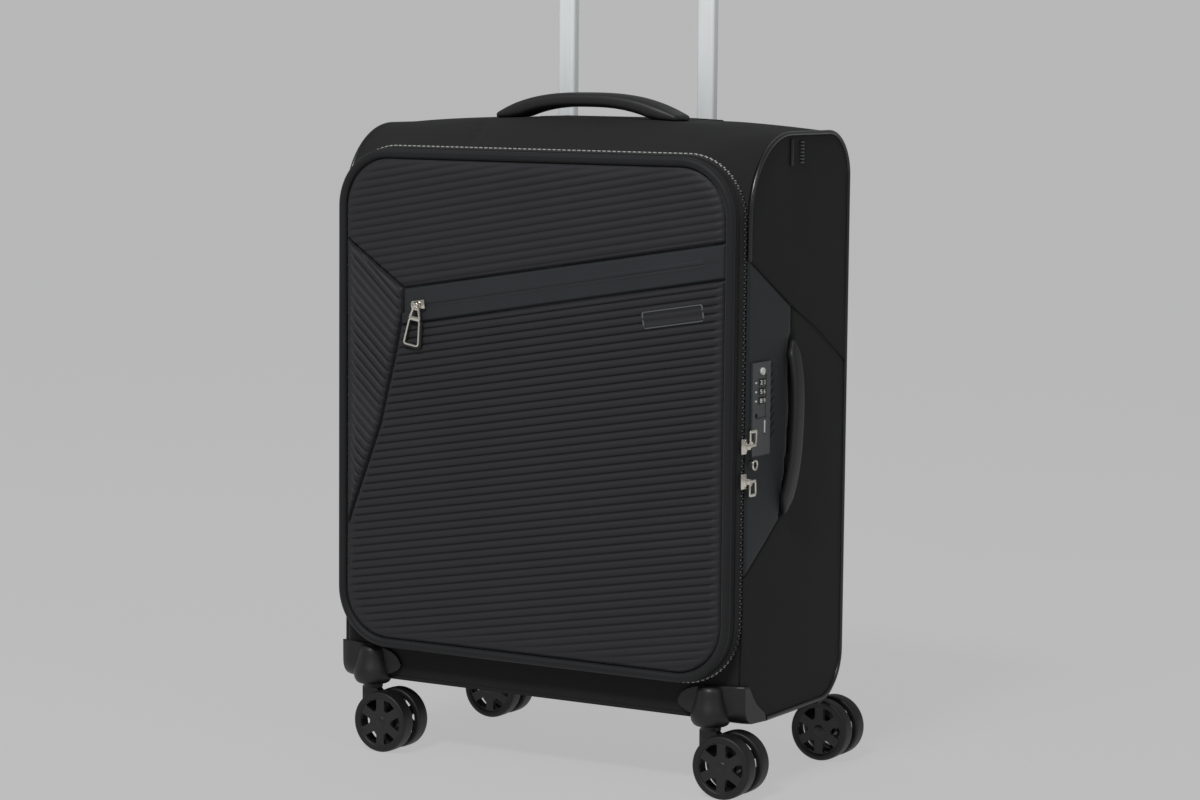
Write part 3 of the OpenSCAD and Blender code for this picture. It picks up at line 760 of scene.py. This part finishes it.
lid_field("lid_field_upper", RIB_SLOPE, even_columns(-187, 187), (395, 560),
          lambda x, z: on_lid(x, z) and above(BAND_TOP, x, z) and not in_facet(x, z),
          face_ribs, [BAND_TOP, FACET[:2]], ribbed, "lid_panel")
lid_field("lid_field_lower", RIB_SLOPE, even_columns(-187, 187), (60, 402),
          lambda x, z: on_lid(x, z) and not above(BAND_LOW, x, z) and not in_facet(x, z),
          face_ribs, [BAND_LOW, FACET[2:]], ribbed)
lid_field("lid_facet", -math.tan(FACET_TILT), even_columns(-187, -124), (-10, 330),
          lambda x, z: on_lid(x, z) and in_facet(x, z),
          facet_ribs, [FACET[:2], FACET[1:3], FACET[2:]], ribbed)


def band_surface(x, z):
    """The pocket's seam along the band: a thin slit with the cloth above it lapping a little over."""
    away = z - (POCKET_LINE[0][1] + (x - POCKET_LINE[0][0]) * (47.1 / 284))
    if not POCKET_LINE[0][0] < x < POCKET_LINE[1][0]:
        return 0.0
    return 0.7 * ease(away / 0.9) * ease((14 - away) / 12)


lid_field("lid_band", (456 - 405) / 316, even_columns(-127, 187), (386, 430),
          lambda x, z: (on_lid(x, z) and above(BAND_LOW, x, z) and not above(BAND_TOP, x, z)
                        and not in_facet(x, z)),
          band_surface, [BAND_TOP, BAND_LOW, FACET[1:3]], smooth_cloth, (), 1.6)


def roll_place(u, v):
    t = v * math.tau
    a, b, _, _ = on_band(zip_band, u, -5.6 + 3.9 * math.cos(t))
    return a, -95.4 + 3.5 * math.sin(t), b


rolled = woven("rolled_edge_cloth", "#17181a", "#1d1e20", 0.62, 0.1, THREAD, 0.00006)
roll = finish_piece("lid_rolled_edge", grid(480, 18, roll_place), rolled, "lid", "lid_piping")

LID_WALL = [(4.5, -95.5), (2.6, -94), (1.9, -92), (1.9, -90), (2.2, -88.4), (3.2, -87.3), (4.4, -87.2),
            (5.0, -91), (4.5, -95.5)]
finish_piece("lid_side_strip", tape_sweep(LID_WALL), polyester, "lid", ())

# ---- Lid lining ----------------------------------------------------------------------------------
# Grey taffeta quilted over the lid's foam, bound round its edge, with a flat zipped pocket.


LINING_Y, LINING_Z = -84.6, 308.0
lining_reach = reach([on_band(zip_band, k / 720, -6) for k in range(720)], (0.0, LINING_Z))


def lining_place(u, v):
    a, b = spread(u, v, 188.0, 211.0, lining_reach)
    return a, LINING_Y, LINING_Z + b


POCKET_TOP = [(-188, 366), (188, 366)]
quilt = grid(84, 92, lining_place)
puff(quilt, lambda co: to_line(co.x, co.z, POCKET_TOP) < 5, 3.0)
for v in quilt.verts:
    v.co.y -= 1.2 * math.exp(-((to_line(v.co.x, v.co.z, POCKET_TOP) / 2.2) ** 2))
quilt_piece = finish_piece("lid_quilted_lining", quilt, lining, "lid", "lid_lining",
                           (0, -200, 300), 1.6, 60)
pocket_teeth = bmesh.new()
for k in range(116):
    bmesh.ops.create_cube(pocket_teeth, size=1, matrix=Matrix.Translation((-172.5 + 3 * k, -83.2, 366))
                          @ Matrix.Diagonal((1.7, 1.2, 3.2, 1)))
soften(pocket_teeth, 0.25)
finish_piece("lining_pocket_teeth", pocket_teeth, nylon, "lid", ())

# ---- Outside pocket zip and badge ----------------------------------------------------------------
# The pocket opens along the slit in the band. Its slider and pull are nickel-plated zinc; the
# badge is a blank satin plate with a raised rim, glued beside the slit.


def metal(name, colour, dull, roughness, streak=None, metallic=1.0):
    """Plated or anodised metal: broad hazy patches, and drawing lines where it was drawn."""
    material, shader = new_material(name, Metallic=metallic)
    where = add_node(material, "ShaderNodeTexCoord")
    stretch = add_node(material, "ShaderNodeMapping", None,
                       {"Vector": (where, "Object"), "Scale": streak or (1.0, 1.0, 1.0)})
    haze = two_tone(material, shader, dull, colour, (stretch, "Vector"), Scale=60.0, Detail=5.0)
    rough = add_node(material, "ShaderNodeMapRange", None,
                     {"Value": (haze, "Fac"), "To Min": roughness * 0.8, "To Max": roughness * 1.25})
    into_shader(material, shader, "Roughness", rough, "Result")
    bump = add_node(material, "ShaderNodeBump", None,
                    {"Height": (haze, "Fac"), "Strength": 0.15, "Distance": 0.0001})
    into_shader(material, shader, "Normal", bump, "Normal")
    return material


nickel = metal("zinc_die_cast_nickel_plated", "#f2eee4", "#dcd7ca", 0.24)
satin_plate = moulded("abs_plate_satin", "#19191a", "#1f2021", 0.35, 0.2)
BAR_H = 5.1


def along_band(place):
    """A frame on the lid's face: X runs along the band and Z points out of the lid."""
    return (Matrix.Translation(place) @ Matrix.Rotation(-BAND_TILT, 4, "Y")
            @ Matrix.Rotation(math.radians(90), 4, "X"))


zip_frame = along_band((-109, -96.5, 391.5))


def rounded_block(bm, low, high, r, matrix=Matrix.Identity(4), segments=2):
    """A block from low to high with its edges rounded."""
    low, high = Vector(low), Vector(high)
    size = high - low
    place = matrix @ Matrix.Translation((low + high) / 2) @ Matrix.Diagonal((*size, 1))
    verts = bmesh.ops.create_cube(bm, size=1, matrix=place)["verts"]
    edges = {e for v in verts for e in v.link_edges}
    bmesh.ops.bevel(bm, geom=list(edges), offset=r, segments=segments, affect="EDGES", profile=0.5,
                    material=-1, clamp_overlap=True)


def rounded(corners, r, steps):
    """A flat outline with its corners rounded, each in so many steps."""
    path = []
    for i, c in enumerate(corners):
        c = Vector(c)
        before = (Vector(corners[i - 1]) - c).normalized() * r
        after = (Vector(corners[(i + 1) % len(corners)]) - c).normalized() * r
        path += [c + before * (1 - k / steps) ** 2 + after * (k / steps) ** 2 for k in range(steps + 1)]
    return path


def wire_loop(bm, corners, r, matrix, round_r=1.6):
    """A closed wire of radius r bent round flat corners (x, y), in the plane of matrix."""
    path = rounded(corners, round_r, 4)
    rings = []
    for i, p in enumerate(path):
        along = (path[(i + 1) % len(path)] - path[i - 1]).normalized()
        side = Vector((-along.y, along.x, 0))
        circle = []
        for q in range(8):
            t = math.tau * q / 8
            out = side * r * math.cos(t) + Vector((0, 0, r * math.sin(t)))
            circle.append(bm.verts.new(matrix @ (Vector((p[0], p[1], 0)) + out)))
        rings.append(circle)
    for one, two in zip(rings, rings[1:] + rings[:1]):
        for q in range(8):
            bm.faces.new((one[q], one[(q + 1) % 8], two[(q + 1) % 8], two[q]))


slider = bmesh.new()
rounded_block(slider, (-6.5, -4, 1.1), (6.5, 4, 3.3), 1.0, zip_frame)
rounded_block(slider, (-7.5, -2.6, 1.3), (-5.5, 2.6, 3.1), 0.8, zip_frame)
for x in (-4.2, 3.0):
    rounded_block(slider, (x, -1.9, 3.0), (x + 1.2, 1.9, 6.6), 0.5, zip_frame)
bar_turn = zip_frame @ Matrix.Translation((0, 0, BAR_H)) @ Matrix.Rotation(math.radians(90), 4, "Y")
bmesh.ops.create_cone(slider, cap_ends=True, segments=16, radius1=1.1, radius2=1.1, depth=7.6,
                      matrix=bar_turn)
finish_piece("pocket_zip_slider_body", slider, nickel, "pocket_zip_slider", "pocket_slider")

pull_frame = zip_frame @ Matrix.Translation((0, 0, BAR_H)) @ Matrix.Rotation(math.radians(-19), 4, "Z")
pull = bmesh.new()
EYE_IN, EYE_OUT = 1.4, 3.0
eye = [(-2.4, EYE_IN), (-2.0, EYE_OUT - 0.3), (-1.6, EYE_OUT), (1.6, EYE_OUT), (2.0, EYE_OUT - 0.3),
       (2.4, EYE_IN), (0, EYE_IN - 0.1)]
spin_outline(pull, [zip_frame @ Vector((x, y, BAR_H)) for x, y in eye], zip_frame @ Vector((0, 0, BAR_H)),
             zip_frame.to_3x3() @ Vector((1, 0, 0)), 20)
wire_loop(pull, [(-2.2, -1.6), (2.2, -1.6), (5.2, -12.6), (-5.2, -12.6)], 1.1, pull_frame, 1.6)
rounded_block(pull, (-3.2, -4.6, -0.9), (3.2, -2.4, 0.9), 0.6, pull_frame)
rounded_block(pull, (-5.4, -13.2, -1.1), (5.4, -9.8, 1.1), 0.8, pull_frame)
wire_loop(pull, [(-5.0, -12.4), (5.0, -12.4), (7.4, -34.6), (-7.4, -34.6)], 1.0, pull_frame, 2.6)
finish_piece("pocket_zip_pull_loop", pull, nickel, "pocket_zip_pull", "pocket_pull")
# a dark loop set behind the plated loop and off to its right: the pull's black edge, with a painted shadow
# round it
pull_edge_and_shadow = bmesh.new()
wire_loop(pull_edge_and_shadow, [(-6.0, -13.4), (6.0, -13.4), (8.6, -36.2), (-8.6, -36.2)], 1.2,
          pull_frame @ Matrix.Translation((0.6, 0, -0.9)), 3.4)
rubber_trim = moulded("tpe_soft_moulded", "#0d0d0e", "#141415", 0.5)
finish_piece("pocket_zip_pull_edge_and_shadow", pull_edge_and_shadow, rubber_trim, "pocket_zip_pull", ())

slit = bmesh.new()
for y, r, top in ((-1.95, 1.6, 0.36), (1.7, 1.75, 0.95)):
    rounded_block(slit, (-3, y - r, -0.9), (278, y + r, top), 0.35, zip_frame)
finish_piece("pocket_zip_lips", slit, smooth_cloth, "lid", "pocket_zip_tape")

badge_frame = along_band((109.5, -96.6, 389))
badge = bmesh.new()
rounded_block(badge, (0, -7.5, -0.6), (58, 7.5, 1.5), 1.0, badge_frame, 3)
finish_piece("badge_plate", badge, satin_plate, "lid", "badge")
rim = bmesh.new()
wire_loop(rim, [(0.9, -6.6), (57.1, -6.6), (57.1, 6.6), (0.9, 6.6)], 0.8,
          badge_frame @ Matrix.Translation((0, 0, 1.5)), 2.2)
rim_plate = moulded("abs_rim_bright", "#55585a", "#63666a", 0.3, 0.3)
finish_piece("badge_rim", rim, rim_plate, "lid", ())

# ---- Main zip sliders ----------------------------------------------------------------------------
# Two plated sliders meet on the right edge. Each has a humped body, a bridge, and an open frame
# pull that lies over the side panel, where the lock takes it.


UPPER_Z, LOWER_Z = 290, 261.5


def main_slider(name, z, body, node_name):
    bm = bmesh.new()
    rounded_block(bm, (195.0, -86.8, z - 6.5), (198.3, -79.2, z + 6.5), 1.2)
    rounded_block(bm, (196.4, -85.4, z - 4.6), (199.4, -80.6, z + 4.6), 1.3)
    rounded_block(bm, (198.4, -83.2, z - 2.6), (202.2, -79.6, z + 2.6), 1.1)
    finish_piece(name, bm, nickel, body, node_name)


main_slider("upper_slider_body", UPPER_Z, "upper_zip_slider", "zip_slider_upper")
main_slider("lower_slider_body", LOWER_Z, "lower_zip_slider", "zip_slider_lower")


def main_pull(name, z, up, body, node_name):
    bm = bmesh.new()
    plane = Matrix(((0, 0, 1, 200.3), (1, 0, 0, -73.5), (0, up, 0, z), (0, 0, 0, 1)))
    wire_loop(bm, [(-4.6, 1.0), (4.6, 1.0), (5.2, 12.4), (-5.2, 12.4)], 0.9, plane, 1.8)
    wire_loop(bm, [(-5.4, -0.6), (-1.6, -0.6), (-1.6, 3.4), (-5.4, 3.4)], 0.8, plane, 1.9)
    rounded_block(bm, (-4.6, 10.4, -0.8), (4.6, 12.8, 0.8), 0.6, plane)
    turn = Matrix.Translation((200.3, -76.2, z)) @ Matrix.Rotation(math.radians(90), 4, "X")
    bmesh.ops.create_cone(bm, cap_ends=True, segments=14, radius1=1.0, radius2=1.0, depth=13.6,
                          matrix=turn)
    finish_piece(name, bm, nickel, body, node_name)


main_pull("upper_pull_frame", UPPER_Z, 1, "upper_zip_pull", "zip_pull_upper")
main_pull("lower_pull_frame", LOWER_Z, -1, "lower_zip_pull", "zip_pull_lower")

# ---- Lock ----------------------------------------------------------------------------------------
# A three-dial combination lock let into the side panel. Its plate and dials are moulded, its
# release is a white button, and a plated ring post beside the zip takes a padlock.

plastic = moulded("polypropylene_moulded", "#161617", "#1e1e1f", 0.46, 0.1)
lock_plastic = moulded("abs_lock_plate", "#37393b", "#404244", 0.38, 0.15)
dial_plastic = moulded("pom_dial", "#2a2a2b", "#343435", 0.4)
white_plastic = moulded("abs_white_release", "#dcdcd8", "#ecece8", 0.35)
mark_white = moulded("printed_white_ink", "#e4e4e0", "#f2f2ee", 0.5)


def dress(name, material):
    """Gives a CAD node its finish."""
    slots = node[name].material_slots
    if not slots:
        node[name].data.materials.append(material)
    for slot in slots:
        slot.material = material


dress("lock_body", lock_plastic)
for k in (1, 2, 3):
    dress("lock_dial_%d" % k, dial_plastic)
dress("lock_release", white_plastic)

DIAL_Z = (340.5, 333.0, 325.5)
for k, z in enumerate(DIAL_Z, 1):
    digits = []
    for n in range(10):
        text = bpy.data.curves.new("digit", "FONT")
        text.body = str((n + 3 * k) % 10)
        text.size, text.extrude = 4.9, 0.12
        text.align_x, text.align_y = "CENTER", "CENTER"
        made = link_object("digit", text)
        turn = Matrix.Rotation(math.radians(36 * n), 4, "Z")
        stand = Matrix(((0, 0, 1, 6.0), (1, 0, 0, 0), (0, 1, 0, 0), (0, 0, 0, 1)))
        shape = bpy.data.meshes.new_from_object(made)
        shape.transform(Matrix.Translation((195.4, -57, z)) @ turn @ stand)
        digits.append(shape)
        bpy.data.objects.remove(made)
    bm = bmesh.new()
    for shape in digits:
        bm.from_mesh(shape)
    finish_piece("dial_%d_digits" % k, bm, mark_white, "dial_%d" % k, ())

marks = bmesh.new()
for z in DIAL_Z:
    rounded_block(marks, (198.6, -68.4, z - 0.7), (199.1, -65.4, z + 0.7), 0.2)
rounded_block(marks, (198.6, -52.2, 298.6), (199.2, -50.4, 309.0), 0.25)
finish_piece("lock_marks", marks, mark_white, "case", ())
track = bmesh.new()
rounded_block(track, (198.5, -50.8, 311.0), (198.95, -48.6, 347.0), 0.2)
rounded_block(track, (198.5, -66.6, 310.6), (198.95, -48.6, 312.2), 0.2)
rounded_block(track, (198.5, -72.4, 279.9), (198.9, -41.6, 280.7), 0.2)
for k in range(9):
    top = 348 - 7.2 * k
    fan = Matrix.Translation((0, -41.6, top)) @ Matrix.Rotation(math.radians(38), 4, "X")
    rounded_block(track, (197.1, 0.4, -0.5), (197.8, 9.5 + 0.5 * k, 0.3), 0.15, fan)
lock_ring = bmesh.new()
ring_plane = Matrix(((0, 0, 1, 200.9), (1, 0, 0, -71), (0, 1, 0, 274), (0, 0, 0, 1)))
wire_loop(lock_ring, [(-3.6, -3.6), (3.6, -3.6), (3.6, 3.6), (-3.6, 3.6)], 0.9, ring_plane, 3.4)
finish_piece("lock_ring", lock_ring, nickel, "case", ())
finish_piece("lock_lines", track, plastic, "case", ())

# a black pull-out tab, and beside it a moulded comb of seven short ribs
tabs = bmesh.new()
rounded_block(tabs, (196.8, -10.2, 515), (198.8, -5.8, 537), 0.8)
finish_piece("side_tab", tabs, rubber_trim, "case", "side_tabs")
comb = bmesh.new()
for k in range(7):
    rounded_block(comb, (196.6, 7.0, 516.6 + 2.8 * k), (198.7, 13.4, 518.1 + 2.8 * k), 0.45)
finish_piece("side_comb", comb, lock_plastic, "case", ())

# ---- Carry handles -------------------------------------------------------------------------------
# Each handle is an arch of soft moulded elastomer over webbing. The top one is broad and rounded;
# the one on the right side is a narrow crescent that lies in a slit of the panel, painted dark as shade.

rubber = moulded("tpe_handle_soft_moulded", "#1a1a1b", "#222223", 0.5, 0.05, 0.0012, 0.00005)


def arch(t):
    return 1 - abs(t) ** 2.6


def squarish(turn, power):
    """Cosine and sine of a turn, drawn out towards the corners of a square."""
    c, s = math.cos(turn), math.sin(turn)
    return math.copysign(abs(c) ** power, c), math.copysign(abs(s) ** power, s)


def closed_tube(bm):
    """Merges the grid's two long edges and caps its ends."""
    bmesh.ops.remove_doubles(bm, verts=bm.verts, dist=0.02)
    bmesh.ops.holes_fill(bm, edges=[e for e in bm.edges if e.is_boundary], sides=40)
    return bm


def handle(span, rise, gap_span, gap_rise, half_width, put, power, foot=1.5, rows=96, taper=(0.62, 0.86),
           taper_from=0.7):
    """An arch between two feet; put(along, across, height) gives the place."""

    def place(u, v):
        t = -1 + 2 * u
        along = span * t
        top = 3 + (rise - 3) * arch(t)
        if abs(along) < gap_span:
            low = gap_rise * arch(along / gap_span)
        else:
            low = -foot * ease((abs(along) / gap_span - 1) * 5)
        narrowing = 1 - taper[0 if t < 0 else 1]
        half = half_width * (1 - narrowing * ease((abs(t) - taper_from) / (1 - taper_from)))
        closing = math.sqrt(max(1 - max(abs(t) - 0.965, 0) ** 2 / 0.035 ** 2, 0))
        middle, thick = (top + low) / 2, (top - low) / 2
        c, s = squarish(v * math.tau, 2 / power)
        return put(along, half * c * max(closing, 0.02), middle + thick * s * max(closing, 0.02))

    return closed_tube(grid(rows, 32, place))


top_grip = handle(92, 22, 64, 9.5, 15, lambda a, w, h: (HANDLE_X + a, HANDLE_Y + w, CROWN_Z + h), 3.4)
top_handle_piece = finish_piece("top_carry_handle", top_grip, rubber, "case", "top_handle",
                                sharp=60)
LEAN = math.radians(4.7)


def beside(a, w, h):
    y = -8 + w * math.cos(LEAN) + a * math.sin(LEAN)
    return HALF_W + h, y, 299.5 + a * math.cos(LEAN) - w * math.sin(LEAN)


side_grip = handle(73, 13, 58, 7, 8, beside, 3.2, 1.2, 80, (0.2, 0.2), 0.8)
side_handle_piece = finish_piece("side_carry_handle", side_grip, rubber, "case", "side_handle",
                                 sharp=60)

# ---- Trolley -------------------------------------------------------------------------------------
# Two telescoping pairs of flat tubes in satin-anodised aluminium run in guides inside the back.
# A moulded grip joins the upper pair, and a tray in the crown takes the grip when it is down.

anodised = metal("aluminium_satin_anodised", "#f8fbfb", "#eef2f2", 0.5, (9.0, 9.0, 0.25), 0.15)
zinc = metal("steel_zinc_plated", "#c8cccd", "#aeb2b4", 0.35)
for name in ("trolley_guides", "lower_tubes", "upper_tubes"):
    dress(name, anodised)
for name in ("trolley_bezel", "lower_collars"):
    dress(name, plastic)
dress("grip_button", dial_plastic)
GRIP_Z = 1040.6


def grip_place(u, v):
    t = -1 + 2 * u
    end = math.sqrt(max(1 - max(abs(t) - 0.9, 0) ** 2 / 0.01, 0.0004))
    c, s = squarish(v * math.tau, 0.62)
    waves = 0.5 * math.cos(t * math.pi * 4) if s < 0 and abs(t) < 0.7 else 0
    narrow = 0.35 + 0.65 * end
    return 83 * t, 80 + 9 * c * narrow, GRIP_Z + 12 + (12 * s * narrow) + waves * abs(s)


grip_bm = closed_tube(grid(96, 32, grip_place))
finish_piece("trolley_grip", grip_bm, rubber, "trolley_upper", "grip", sharp=60)

# ---- Casters -------------------------------------------------------------------------------------
# Each corner has a moulded housing, a fork that swivels in it, and twin wheels on one axle: a
# polyurethane tyre on a nylon rim whose thin outer web is cut into six spokes.

tyre_rubber = moulded("polyurethane_tyre", "#101011", "#171718", 0.5)
rim_plastic = moulded("nylon_rim_moulded", "#131314", "#1a1a1b", 0.4, 0.15)
WHEEL_R, WHEEL_W, TRAIL, WHEEL_STEPS = 26.4, 14.0, 19.0, 56
CASTER_X, WHEEL_APART = 168, 11.5
CASTERS = [("front_left", -1, -79.5), ("front_right", 1, -79.5), ("back_left", -1, 98),
           ("back_right", 1, 98)]
housing_plastic = moulded("polypropylene_housing", "#0f0f10", "#151516", 0.5, 0.1, 0.0014, 0.00006)


def ring(bm, profile, axis_at):
    """Spins a closed profile of (radius, y) about the axle."""
    points = [Vector(axis_at) + Vector((r, y, 0)) for r, y in profile]
    spin_outline(bm, points, axis_at, (0, 1, 0), WHEEL_STEPS)


def meets(origin, along, outline):
    """Distance from a point inside a closed outline to the outline, in one direction."""
    best = 1e9
    for p, q in zip(outline, outline[1:] + outline[:1]):
        edge, gap = (q[0] - p[0], q[1] - p[1]), (p[0] - origin[0], p[1] - origin[1])
        turned = along[0] * edge[1] - along[1] * edge[0]
        if abs(turned) < 1e-9:
            continue
        t = (gap[0] * edge[1] - gap[1] * edge[0]) / turned
        k = (gap[0] * along[1] - gap[1] * along[0]) / turned
        if t > 0 and -1e-6 <= k <= 1 + 1e-6:
            best = min(best, t)
    return best


HUB_IN, WEB_OUT = 2.6, 21.6
WINDOW = rounded([(10.6, -1.7), (19.0, -6.4), (20.3, 0), (19.0, 6.4), (10.6, 1.7)], 1.5, 5)
ARC = [math.radians(-30 + 60 * k / 12) for k in range(13)]
SECTOR = (
    [(WEB_OUT * math.cos(t), WEB_OUT * math.sin(t)) for t in ARC]
    + [(HUB_IN * math.cos(t), HUB_IN * math.sin(t)) for t in reversed(ARC)]
)


def star_web(bm, at, y_low, y_high):
    """A flat web with six wide windows between its spokes."""
    faces = []
    for k in range(6):
        turn = math.radians(60 * k)
        inner, outer = [], []
        for n in range(56):
            t = math.tau * (n + 0.5) / 56
            along = (math.cos(t), math.sin(t))
            for store, outline in ((inner, WINDOW), (outer, SECTOR)):
                far = meets((15.0, 0.0), along, outline)
                px, pz = 15.0 + along[0] * far, along[1] * far
                store.append(bm.verts.new((
                    at[0] + px * math.cos(turn) - pz * math.sin(turn), at[1] + y_low,
                    at[2] + px * math.sin(turn) + pz * math.cos(turn),
                )))
        for n in range(56):
            m = (n + 1) % 56
            faces.append(bm.faces.new((inner[n], outer[n], outer[m], inner[m])))
    bmesh.ops.remove_doubles(bm, verts=bm.verts, dist=0.05)
    grown = bmesh.ops.extrude_face_region(bm, geom=bm.faces[:], use_keep_orig=True)["geom"]
    for v in grown:
        if isinstance(v, bmesh.types.BMVert):
            v.co.y = at[1] + y_high


def wheel(name, x, y, outward):
    """One wheel; outward is the side, -1 or 1 in Y, that its star looks to."""
    half = WHEEL_W / 2
    at = (x, y, WHEEL_R)
    tyre = bmesh.new()
    ring(tyre, [(21.2, -half + 0.5), (25.0, -half), (25.9, -half + 0.5), (26.3, -half + 1.6), (WHEEL_R, -3),
                (WHEEL_R, 3), (26.3, half - 1.6), (25.9, half - 0.5), (25.0, half), (21.2, half - 0.5),
                (20.6, half - 1.2), (20.6, -half + 1.2)], at)
    finish_piece(name + "_tyre", tyre, tyre_rubber, name, name, sharp=50)
    star = bmesh.new()
    low, high = sorted((outward * (half - 1.3), outward * (half - 4.6)))
    star_web(star, at, low, high)
    low, high = sorted((-outward * (half - 0.8), outward * (half - 3.0)))
    ring(star, [(2.6, low), (6.4, low), (7.2, low + 0.8), (7.2, high - 0.8), (6.4, high), (2.6, high)], at)
    dome = [(0.0, outward * (half - 0.5)), (2.6, outward * (half - 0.65)), (4.6, outward * (half - 1.1)),
            (5.2, outward * (half - 1.8)), (0.0, outward * (half - 1.8))]
    points = [Vector(at) + Vector((r, dy, 0)) for r, dy in dome]
    spin_outline(star, points, at, (0, 1, 0), 32, False)
    finish_piece(name + "_rim", star, rim_plastic, name, (), sharp=40)


WING_TOP = [(138, 76), (141, 82), (147, 86.5), (156, 89.5), (168, 90.5), (197, 92)]
WING_LOW = [(138, 74), (141, 70), (147, 67), (154, 65), (160, 62), (168, 60), (197, 59.5)]
WING_END = [(0, -41, 57.6), (0.25, -45, 65), (0.42, -52, 69.5), (0.6, -60, 75), (0.8, -66, 82),
            (1, -72, 90.5)]


def height_at(line, a, item=1):
    for p, q in zip(line, line[1:]):
        if a <= q[0]:
            return p[item] + (q[item] - p[item]) * min(max((a - p[0]) / (q[0] - p[0]), 0), 1)
    return line[-1][item]


def front_wing(s):
    """A shell laid round the front lower corner; its end on the side is a long S."""
    corner = 0.62

    def on_front(x, v):
        low, top = height_at(WING_LOW, x), height_at(WING_TOP, x)
        z = low + (top - low) * v
        hit = skin_tree.ray_cast(Vector((s * min(x, 192), 10, z)), Vector((0, -1, 0)))[0]
        turn = ease((x - 190) / 6.5)
        y = (hit.y if hit is not None else FRONT_Y) - 3.2 + 2.4 * turn ** 2
        return Vector((x + 3.4 * turn, y, z))

    def place(u, v):
        if u < corner:
            at = on_front(138 + (u / corner) * (HALF_W - 0.8 - 138), v)
        else:
            t = (u - corner) / (1 - corner)
            start = on_front(HALF_W - 0.8, v)
            end = Vector((HALF_W + 2.6, height_at(WING_END, v, 1), height_at(WING_END, v, 2)))
            at = start.lerp(end, t)
            at.x = HALF_W + 2.9 - 0.4 * t
        return s * at.x, at.y, at.z

    return grid(80, 16, place)


def boss_shell(bm, x, y):
    """The housing's boss: a neck under the wing that flares to a shoulder and turns in at the foot."""
    profile = [(5.9, 57.2), (13.0, 57.2), (14.6, 58.2), (16.3, 61), (17.0, 64.5), (16.6, 68.5), (15.2, 73),
               (13.6, 77.5), (12.6, 82), (12.0, 86), (10.8, 89), (8.0, 90.4), (5.9, 90.6)]
    spin_outline(bm, [(x + r, y, z) for r, z in profile], (x, y, 0), (0, 0, 1), WHEEL_STEPS)


for label, s, y in CASTERS:
    if y < 0:
        finish_piece("caster_wing_" + label, front_wing(s), housing_plastic, "case",
                     "wheel_housing_" + label, (0, 30, 120), 2.6, 50)
        boss_bm = bmesh.new()
        boss_shell(boss_bm, s * CASTER_X, y)
        finish_piece("caster_boss_" + label, boss_bm, housing_plastic, "case", (),
                     sharp=70)
    else:
        dress("wheel_housing_" + label, housing_plastic)
    dress("caster_fork_" + label, plastic)
    dress("caster_axle_" + label, zinc)
    wheel("wheel_%s_a" % label, s * CASTER_X + TRAIL, y - WHEEL_APART, -1)
    wheel("wheel_%s_b" % label, s * CASTER_X + TRAIL, y + WHEEL_APART, 1)
dress("housing_screws", zinc)

# ---- Inside the case -----------------------------------------------------------------------------
# Wire hoops hold the shell open and a polypropylene board stiffens the back. Two slanting
# webbing straps, each in two lengths with a buckle between them, hold the packing down.

board = moulded("polypropylene_sheet", "#3a3c3e", "#434547", 0.55)
spring_steel = metal("steel_wire_drawn", "#b9bdbe", "#9a9ea0", 0.3, (1.0, 1.0, 1.0))
webbing = woven("webbing_polyester_25mm", "#303234", "#3c3e40", 0.75, 0.15, 0.0022, 0.0003)
dress("frame_rods", spring_steel)
dress("back_board", board)
dress("strap_buckle", plastic)
strap_bm = bmesh.new()
for s in (-1, 1):
    for e in (-1, 1):
        turn = (
            Matrix.Translation((s * 88, 64.2, 300)) @ Matrix.Rotation(math.radians(s * 32), 4, "Y")
            @ Matrix.Translation((0, 0, e * 87))
        )
        rounded_block(strap_bm, (-12.5, -0.6, -66), (12.5, 0.6, 66), 0.5, turn)
        for side in (-1, 1):
            rounded_block(strap_bm, (side * 10.6 - 0.7, -1.0, -65), (side * 10.6 + 0.7, 0.9, 65), 0.3, turn)
finish_piece("packing_strap_webbing", strap_bm, webbing, "case", "packing_straps")
